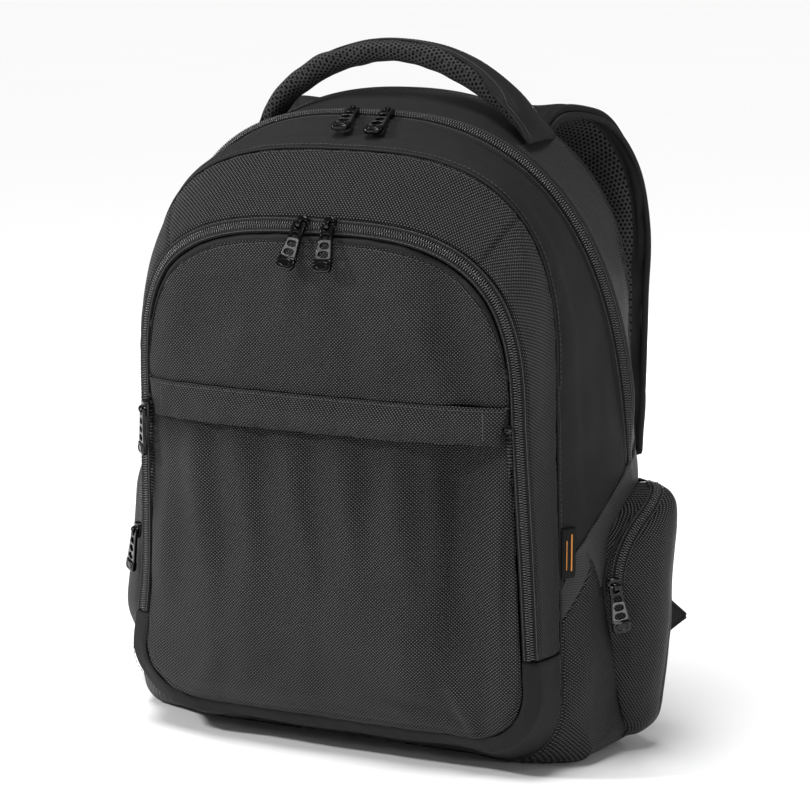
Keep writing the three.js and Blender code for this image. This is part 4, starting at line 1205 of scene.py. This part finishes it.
turn = np.linspace(-math.pi / 2, math.pi / 2, 400)
arch = np.stack([
    np.sin(turn) * HANDLE_SPAN + HANDLE_SKEW * clip01(np.sin(turn)) ** 4, np.full(400, HANDLE_BACK),
    HANDLE_FOOT + clip01(np.cos(turn)) ** HANDLE_FALL * HANDLE_RISE,
], -1)
lean = np.gradient(arch, axis=0)
arch_out = unit(np.stack([-lean[:, 2], 0 * lean[:, 0], lean[:, 0]], -1))
around = np.linspace(0, 2 * math.pi, 40, endpoint=False)
grip_line = Line(arch, arch_out, 3.2 * MM)
swing = np.linspace(-1, 1, len(grip_line.points))
thick = GRIP_THICK / 2 * (1 - 0.25 * np.abs(swing) ** 8)
fuller = curved([-1, -0.5, 0, 0.55, 1], [0, 0.5, 0.3, 0.9, 0.1], swing)[:, None]
inner = 1 + fuller * (np.sin(around) < 0)
section = np.stack([
    signed_power(np.cos(around), 0.8) * GRIP_WIDE / 2 * np.ones((len(swing), 1)),
    signed_power(np.sin(around), 0.85) * thick[:, None] * inner,
], -1)
grip_panel = sweep(grip_line, section)
grip_panel.push(0.35 * MM * ripple(grip_panel.points, 22 * MM, 31))
grip = lay("handle_grip", grip_panel, AIR_MESH, 0, True)
inflate(grip, 1.2, 1.5 * MM)
refine(grip)
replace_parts(grip, "handle_grip")

shares = np.abs(swing)
foot = shares ** 7
wide = curved([-1, -0.8, -0.4, 0, 0.3, 0.6, 0.82, 1], [15, 8, 5, 4, 8, 13, 20, 27], swing)[:, None] * MM
aside = np.linspace(-1, 1, 17)[None]
over = np.clip(aside * wide / (GRIP_WIDE / 2 + 1.7 * MM), -1, 1)
rest = curved([-1, -0.4, 0, 0.25, 0.5, 1], [0.3, -0.5, -0.6, 0.4, 1.5, 3], swing)[:, None] * MM
crown = (thick[:, None] + rest) * (1 - np.abs(over) ** 2.3) ** 0.42
crown = mix(crown, thick[:, None] + rest, foot[:, None])
band_section = np.stack([aside * wide, crown - 0.7 * MM * np.abs(aside) ** 8], -1)
band_panel = sweep(grip_line, band_section, False)
band_panel.push(0.3 * MM * ripple(band_panel.points, 30 * MM, 33))
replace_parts(lay("handle_band", band_panel, FACING, 1.2 * MM), "handle_band")
seams = []
for side in (-1, 1):
    column = 2 if side < 0 else -3
    seams.append(stitches("handle_seam", band_panel.points[:, column], band_panel.normals[:, column],
                          2.8 * MM, 4 * MM))
join_rows("handle_stitches", seams)

# Shoulder straps

STRAP_WIDE = 62 * MM
STRAP_END = 50 * MM
STRAP_THICK = 12 * MM
STRAP_REACH = 56 * MM
STRAP_LINE = np.array([
    (0.372, 0.03, 0.9, 0), (0.39, 0.07, 0.934, 0), (0.45, 0.34, 0.951, 0), (0.56, 0.75, 0.925, 0),
    (0.65, 0.94, 0.866, 0), (0.698, 0.95, 0.78, 0), (0.715, 0.82, 0.67, 0.2), (0.75, 0.6, 0.535, 0.6),
    (0.78, 0.36, 0.435, 1),
])
WEBBING_LINE = np.array([(0.9, 0.27, 0.345), (0.93, 0.22, 0.27), (0.97, 0.17, 0.22)])
WEBBING_WIDE = 25 * MM
BUCKLE_TALL = 26 * MM
BUCKLE_BAR = 5 * MM
TAB_TALL = 58 * MM
TAB_TIP = 3 * MM
TAB_REACH = 27 * MM
TAB_HEIGHT = 86 * MM


def strap_places(line):
    lift = STRAP_THICK / 2 + GAP
    return np.stack([line[:, 0] * HALF, REAR + lift + line[:, 1] * STRAP_REACH, line[:, 2] * HEIGHT], -1)


def through(points, count):
    """A smooth curve through points, by their distance along it."""
    far = np.append(0, np.cumsum(np.sqrt(np.linalg.norm(np.diff(points, axis=0), axis=1))))
    at = np.linspace(0, far[-1], count)
    lines = [hermite(far, points[:, k], np.gradient(points[:, k], far), at) for k in range(3)]
    return np.stack(lines, -1), far / far[-1]


def convex_normals(points):
    """Normals across the bag's width from a strap's line, on the outer side of its bend."""
    along = unit(np.gradient(points, axis=0))
    return unit(np.cross(np.broadcast_to([1.0, 0, 0], points.shape), along))


def make_strap(side):
    sign = SIGNS[side]
    mirror = np.array([sign, 1, 1])
    points, shares = through(strap_places(STRAP_LINE), 400)
    normals = convex_normals(points)
    line = Line(points, normals, 4 * MM)
    narrow = np.interp(line.far / line.far[-1], shares, STRAP_LINE[:, 3])
    ends = np.minimum(line.far, line.far[-1] - line.far)
    round_end = np.clip(1 - (1 - clip01(ends / (9 * MM))) ** 2, 0.05, 1) ** 0.5
    half = mix(STRAP_WIDE, STRAP_END, narrow)[:, None] / 2 - 1 * MM
    a = np.linspace(0, 2 * math.pi, 56, endpoint=False)
    across, up = np.cos(a), np.sin(a)
    across = signed_power(across, 0.55)
    seam = 1 - 0.28 * np.exp(-(((np.abs(across) - 0.76) / 0.05) ** 2))
    up = signed_power(up, 0.75) * seam
    section = np.stack([across * half, up * (STRAP_THICK / 2 - 0.8 * MM) * round_end[:, None]], -1)
    panel = sweep(line, section)
    panel.points = panel.points * mirror
    panel = Panel(panel.points, True, line.points[:, None] * mirror)
    inner = (np.sin(a) < -0.02) & (np.abs(np.cos(a)) ** 0.55 < 0.74)
    panel.zone = np.broadcast_to(inner.astype(float), panel.points.shape[:2])
    panel.push(0.4 * MM * ripple(panel.points, 30 * MM, 35 + sign))
    piece = lay("shoulder_strap_" + side, panel, [FINE, AIR_MESH], 0, True)
    inflate(piece, 2.5, 5 * MM)
    refine(piece)
    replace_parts(piece, "shoulder_strap_" + side)
    for edge in (-1, 1):
        rim = (line.points + line.sides * edge * (half - 0.9 * MM)) * mirror
        tube(f"strap_binding_{side}_{'outer' if edge > 0 else 'inner'}", rim, line.normals * mirror,
             STRAP_BINDING, PIPING, 4 * MM)
    return line, mirror


def make_webbing(side, strap_line, mirror):
    end, way = strap_line.points[-1], strap_line.along[-1]
    below = [end + way * far for far in (-12 * MM, BUCKLE_TALL * 0.5, BUCKLE_TALL + BUCKLE_BAR)]
    points, _ = through(np.array(below + list(strap_places(WEBBING_LINE))), 160)
    line = Line(points, convex_normals(points), 3 * MM)
    aside = np.linspace(-1, 1, 13)
    section = np.stack([aside * WEBBING_WIDE / 2, 0.9 * MM * (1 - np.abs(aside) ** 10)], -1)
    panel = sweep(line, section, False)
    under = line.points[:, None] * mirror - line.normals[:, None] * mirror
    weave = Panel(panel.points * mirror, False, under)
    piece = lay("strap_webbing_" + side, weave, WEBBING, 1.7 * MM)
    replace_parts(piece, "strap_webbing_" + side)


def make_tab(side):
    """A triangle of folded webbing that stands out of the back seam."""
    sign = SIGNS[side]
    x = float(seam_half("back", TAB_HEIGHT)) - 4 * MM
    share = np.linspace(-0.12, 1, 26)[:, None]
    level = np.linspace(-1, 1, 26)[None]
    half = mix(TAB_TALL, TAB_TIP, clip01(share)) / 2
    grid = np.stack(np.broadcast_arrays(
        sign * (x + share * TAB_REACH), REAR + GAP + share * TAB_REACH / 2 + 3 * MM,
        TAB_HEIGHT + level * half,
    ), -1)
    panel = Panel(grid, False, np.array([0, 0, TAB_HEIGHT]))
    panel.sew(sway=0.3, roll=1.0, pucker=0.1, seed=41)
    piece = lay("strap_tab_" + side, panel, WEBBING, 2.6 * MM)
    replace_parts(piece, "strap_tab_" + side)
    for n, level in enumerate((3 * MM, 6 * MM)):
        points, normals = panel.line(level)
        stitches(f"tab_seam_{side}_{n}", points, normals, 2.8 * MM, 3 * MM)


for side in SIGNS:
    strap_line, mirror = make_strap(side)
    make_webbing(side, strap_line, mirror)
    make_tab(side)
    buckle = frame["nodes"]["strap_buckle_" + side]
    buckle.data.materials.clear()
    buckle.data.materials.append(PLASTIC)
    rounding = buckle.modifiers.new("rounded", "BEVEL")
    rounding.width = 1 * MM
    rounding.segments = 3

# Back panel

BACK_BORDER = 14 * MM
BACK_SWELL = 7 * MM
BACK_CUSHION = 3.6 * MM
YOKE_HEIGHT = 392 * MM
BACK_CHANNELS = (118 * MM, 205 * MM, 300 * MM)
levels = mix(1.5 * MM, HEIGHT - 1.5 * MM, spread(150, 0.5))
back = flat_uv(upright("back", levels, 110, 0.0, lambda z: REAR - BACK_SWELL))
x, z = back.points[..., 0], back.points[..., 2]
rim = np.minimum(np.array([float(seam_half("back", level)) for level in z[:, 0]])[:, None] - np.abs(x),
                 np.minimum(z, HEIGHT - z))
pad = 1 - bell(clip01(rim - BACK_BORDER), 9)
channel = 1 - 0.75 * bell(x, 9) * (z < YOKE_HEIGHT)
for level in BACK_CHANNELS:
    channel = channel * (1 - 0.6 * bell(z - level - 0.12 * np.abs(x), 5))
channel = channel * (1 - 0.8 * bell(z - YOKE_HEIGHT, 4))
border = bell(rim - BACK_BORDER, 1.6)
height = BACK_SWELL * (1 - bell(rim, 4)) + BACK_CUSHION * pad * channel - 1.2 * MM * border
back.points[..., 1] += height - 0.6 * MM
back.normals = back.find_normals()
back.push(0.5 * MM * pad * ripple(back.points, 45 * MM, 43))
back.zone = np.where((rim < BACK_BORDER) | (z > YOKE_HEIGHT), 1.0, 0.0)
back_piece = lay("back_panel", back, [BACK_MESH, FINE], 6 * MM)
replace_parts(back_piece, "back_panel")

# Piping, binding and stitched seams

ways = even_ways(0.035, 0.965, 700)
points = seam_point("front", ways)
normals = unit(seam_out("front", ways) - np.array([0, 0.8, 0]))
tube("front_piping", points + normals * 0.1 * MM, normals, FRONT_PIPING, PIPING)
points = seam_point("back", even_ways(0.0, 1.0, 800))
normals = unit(seam_out("back", even_ways(0.0, 1.0, 800)) + np.array([0, 0.4, 0]))
keep = points[:, 2] > 2.5 * MM
tube("back_binding", points[keep] - normals[keep] * 1.1 * MM, normals[keep], BACK_BINDING, PIPING, squeeze=0.8)
# Rows of stitches: panel, inset from its edge in millimetres, and whether that edge is the one given last
STITCH_ROWS = {
    "gusset": (front_gusset, 3.2, False), "rear": (rear_gusset, 3.2, True), "band": (front_band, 3.4, False),
    "pocket": (pocket_upper, 6.4, False), "base": (front_base, 3.0, False),
}
for name, (panel, inset, from_last) in STITCH_ROWS.items():
    stitches(name + "_stitches", *panel.line(inset * MM, from_last))

# Label

LABEL_WIDE = 12 * MM
LABEL_TALL = 34 * MM
LABEL_HEIGHT = 153 * MM
start, end = (
    np.array([seam_half(name, LABEL_HEIGHT), seam_depth_at(name, LABEL_HEIGHT), LABEL_HEIGHT])
    for name in ("front", "side")
)
label_way = unit(end - start)
label_out = np.array([label_way[1], -label_way[0], 0])


def label_grid(low, high, near, far, lift, columns=16, rows=30):
    a = np.linspace(near, far, columns)[None, :, None]
    z = np.linspace(low, high, rows)[:, None, None]
    bow = lift + 0.5 * MM * np.sin(math.pi * a / LABEL_WIDE)
    return Panel(start + label_way * a + label_out * bow + np.array([0, 0, 1]) * z)


tall = LABEL_TALL / 2
label = label_grid(-tall, tall, 0.3 * MM, LABEL_WIDE, 2.4 * MM).sew(sway=0.2, roll=0.3, pucker=0.1, seed=47)
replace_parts(lay("label", label, LABEL_CLOTH, 0.9 * MM), "label")
for n, (near, far, low, high) in enumerate(((7.2, 8.3, -12, 13), (3.4, 4.0, -11, 9))):
    stripe = label_grid(low * MM, high * MM, near * MM, far * MM, 2.75 * MM, 4, 30)
    lay(f"label_stripe_{n + 1}", stripe, ORANGE, 0.3 * MM)

# Sliders and pulls: local X is the hinge axis, Y the way the pull hangs, Z away from the cloth

PIN_HEIGHT = 4.6
EYE = 1.85
LUG_WIDE = 3
LUG_REACH = 3
PULL_THICK = 2.4
PULL_HOLES = (8.4, 14.3, 20.2)
PULL_END = 27.6


def ring(x, y, wide, tall, count=28, square=2.0):
    """A closed loop round (x, y): an ellipse, or a rounder rectangle as square grows."""
    a = np.linspace(0, 2 * math.pi, count, endpoint=False)
    power = 2 / square
    return np.stack([
        x + wide * signed_power(np.cos(a), power), y + tall * signed_power(np.sin(a), power),
    ], -1)


def half_loop(rows):
    """A closed loop, symmetric about x = 0, from rows of (x, y) down its right side."""
    rows = np.array(rows, float)
    return np.vstack([rows, rows[::-1] * [-1, 1]])


def plate(name, loops, thick, bevel, place, material, body):
    """A flat shape with holes and rounded edges, centred on its plane; sizes are in millimetres."""
    curve = bpy.data.curves.new(name, "CURVE")
    curve.dimensions = "2D"
    curve.fill_mode = "BOTH"
    curve.extrude = thick / 2 - bevel
    curve.bevel_depth = bevel
    curve.bevel_resolution = 3
    curve.offset = -bevel
    for loop in loops:
        spline = curve.splines.new("POLY")
        spline.points.add(len(loop) - 1)
        spline.points.foreach_set("co", np.hstack([loop, np.tile([0, 1], (len(loop), 1))]).ravel())
        spline.use_cyclic_u = True
    holder = add(name, curve)
    mesh = bpy.data.meshes.new_from_object(holder.evaluated_get(bpy.context.evaluated_depsgraph_get()))
    bpy.data.objects.remove(holder)
    mesh.transform(place)
    mesh.polygons.foreach_set("use_smooth", [True] * len(mesh.polygons))
    mesh.materials.clear()
    mesh.materials.append(material)
    piece = add(name, mesh)
    piece.modifiers.new("even", "WEIGHTED_NORMAL").keep_sharp = True
    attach(piece, body)
    return piece


def local_frame(origin, axis, hang):
    """The matrix from millimetres in a pull's or slider's own frame to metres."""
    out = np.cross(axis, hang)
    placed = Matrix([[axis[k], hang[k], out[k], origin[k] / MM] for k in range(3)] + [[0, 0, 0, 1]])
    return Matrix.Scale(MM, 4) @ placed


PULL_OUTLINE = half_loop([
    (0, -1), (3.5, -1), (4.3, -0.7), (4.5, -0.1), (4.5, 7), (4.7, 9), (5.9, 18), (6.3, 21.5), (6.5, 24),
    (6.5, 28.3), (6.2, 29.8), (5.4, 31.1), (4.2, 31.8), (2.6, 32), (0, 32),
])
PULL_WEB = half_loop([
    (0, 10.4), (3.2, 10.6), (4.1, 11.1), (4.9, 17.5), (5.3, 21), (5.2, 22.6), (4.4, 23.1), (0, 23.2),
])
PULL_BLOCK = half_loop([
    (0, 23.3), (5.2, 23.5), (6.2, 24.2), (6.5, 25.4), (6.5, 28.3), (6.2, 29.8), (5.4, 31.1), (4.2, 31.8),
    (2.6, 32), (0, 32),
])
SLIDER_OUTLINE = half_loop([
    (0, -6), (2.2, -5.9), (3.9, -5.2), (4.5, -4.0), (4.5, -1.4), (4.1, 0.6), (3.6, 2.4), (3.5, 4.4),
    (3.2, 5.5), (2.2, 6), (0, 6),
])


def hinge(joint, node):
    """A joint's pin and axis, and the corners of a node that it holds."""
    corners = np.array([v.co for v in frame["nodes"][node].data.vertices])
    return np.array(joint["pos_m"]), unit(np.array(joint["axis"])), corners


def make_slider(name, joint):
    pin, axis, corners = hinge(joint, "slider_" + name)
    far = np.linalg.norm(corners - pin, axis=1)
    base = corners[far > far.max() - 0.05 * MM].mean(0)
    up = unit(pin - base - axis * ((pin - base) @ axis))
    down = np.cross(up, axis)
    place = local_frame(pin - up * PIN_HEIGHT * MM, axis, down)
    middle = Matrix.Translation((0, 0, 1.7))
    body = plate("slider_plate_" + name, [SLIDER_OUTLINE], 2.0, 0.6, place @ middle, METAL, "bag")
    lug_place = place @ Matrix.Rotation(math.radians(90), 4, "Y") @ Matrix.Rotation(math.radians(90), 4, "Z")
    half_turn = np.linspace(0, math.pi, 22)
    top = [(LUG_REACH * math.cos(a), PIN_HEIGHT + LUG_REACH * math.sin(a)) for a in half_turn]
    profile = np.array([(-LUG_REACH - 1.6, 1.8), (LUG_REACH + 1.6, 1.8), (LUG_REACH + 0.3, 3.0)] + top
                       + [(-LUG_REACH - 0.3, 3.0)])
    lug = plate("slider_lug_" + name, [profile, ring(0, PIN_HEIGHT, EYE, EYE, 24)], LUG_WIDE - 0.1, 0.5,
                lug_place, METAL, "bag")
    cap = plate("slider_cap_" + name, [ring(0, -3.9, 3.9, 2.1, 32, 2.6)], 2.6, 1.1,
                place @ Matrix.Translation((0, 0, 3.2)), METAL, "bag")
    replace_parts(join_rows("slider_body_" + name, [body, lug, cap]), "slider_" + name)


def make_pull(name, joint):
    pin, axis, corners = hinge(joint, "pull_" + name)
    middle = corners.mean(0) - pin
    hang = unit(middle - axis * (middle @ axis))
    place = local_frame(pin, axis, hang)
    window = ring(0, 2.45, 2.05, 1.4, 24, 5)
    body = "pull_" + name
    holes = [ring(0, y, wide, 2.35, 28, 2.3) for y, wide in zip(PULL_HOLES, (2.7, 3.4, 3.9))]
    parts = [
        plate("pull_body", [PULL_OUTLINE, window] + holes, PULL_THICK, 0.6, place, METAL, body),
        plate("pull_block", [PULL_BLOCK], 4.0, 1.3, place, METAL, body),
    ]
    for side in (-1, 1):
        rim = place @ Matrix.Translation((0, 0, side * 2.0))
        loops = [ring(0, PULL_END, wide, tall, 36, 2.4) for wide, tall in ((4.6, 2.9), (3.6, 1.9))]
        parts.append(plate("pull_rim", loops, 0.9, 0.42, rim, METAL, body))
    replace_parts(join_rows("pull_body_" + name, parts), "pull_" + name)
    inner = [ring(0, y, wide + 0.05, 2.4, 28, 2.3) for y, wide in zip(PULL_HOLES[1:], (3.4, 3.9))]
    plate("pull_web_" + name, [PULL_WEB] + inner, PULL_THICK + 0.16, 0.12, place, SATIN, body)


for joint in frame["joints"]:
    name = joint["child"].replace("pull_", "", 1)
    make_slider(name, joint)
    make_pull(name, joint)

# Floor, light and camera

floor_points = [(40 * math.cos(a), 40 * math.sin(a), -0.4 * MM) for a in np.linspace(0, 2 * math.pi, 97)[:-1]]
floor = bpy.data.meshes.new("floor")
floor.from_pydata(floor_points, [], [list(range(96))])
floor.materials.append(floor_material())
floor_disc = add("floor", floor)

world = bpy.data.worlds.new("studio")
bpy.context.scene.world = world
world.use_nodes = True
world.node_tree.nodes["Background"].inputs["Color"].default_value = (1, 1, 1, 1)
world.node_tree.nodes["Background"].inputs["Strength"].default_value = 0.17
bpy.context.scene.view_settings.view_transform = "Standard"


LIGHT_AIM = Vector((0, 0, 0.22))
# Round lights: name, place, strength and width
DISKS = [
    ("key", (-1.2, -1.0, 1.2), 23, 0.24), ("fill", (1.6, -1.3, 0.9), 3, 0.25),
    ("side", (1.5, 0.8, 0.7), 2.5, 0.3), ("behind", (-0.5, 1.9, 0.5), 5, 0.4),
]


def add_light(name, kind, place, energy, **values):
    """A light at a place, turned to the middle of the bag."""
    lamp = bpy.data.lights.new(name, kind)
    lamp.energy = energy
    for key, value in values.items():
        setattr(lamp, key, value)
    holder = add(name, lamp)
    holder.location = place
    holder.rotation_euler = (LIGHT_AIM - Vector(place)).to_track_quat("-Z", "Y").to_euler()


add_light("overhead", "SUN", (-0.15, -0.35, 2.4), 2.8, angle=math.radians(30))
for name, place, energy, size in DISKS:
    add_light(name, "AREA", place, energy, shape="DISK", size=size)

CAMERA_TURN = 25.213
CAMERA_RISE = 10.906
CAMERA_FAR = 1.7611
CAMERA_AIM = Vector((0, 0, 0.24))
SENSOR = 36
PHOTO = 810  # width of the picture, and the focal length and optical middle below, in pixels
FOCUS = 2557.1
MIDDLE = (363.63, 400.87)

camera = bpy.data.cameras.new("camera")
camera.sensor_width = SENSOR
camera.lens = SENSOR * FOCUS / PHOTO
camera.shift_x = (PHOTO / 2 - MIDDLE[0]) / PHOTO
camera.shift_y = (MIDDLE[1] - PHOTO / 2) / PHOTO
holder = add("camera", camera)
turn_way, rise = math.radians(CAMERA_TURN), math.radians(CAMERA_RISE)
back_way = Vector((math.sin(turn_way) * math.cos(rise), -math.cos(turn_way) * math.cos(rise), math.sin(rise)))
holder.location = CAMERA_AIM + back_way * CAMERA_FAR
holder.rotation_euler = (-back_way).to_track_quat("-Z", "Y").to_euler()
bpy.context.scene.camera = holder
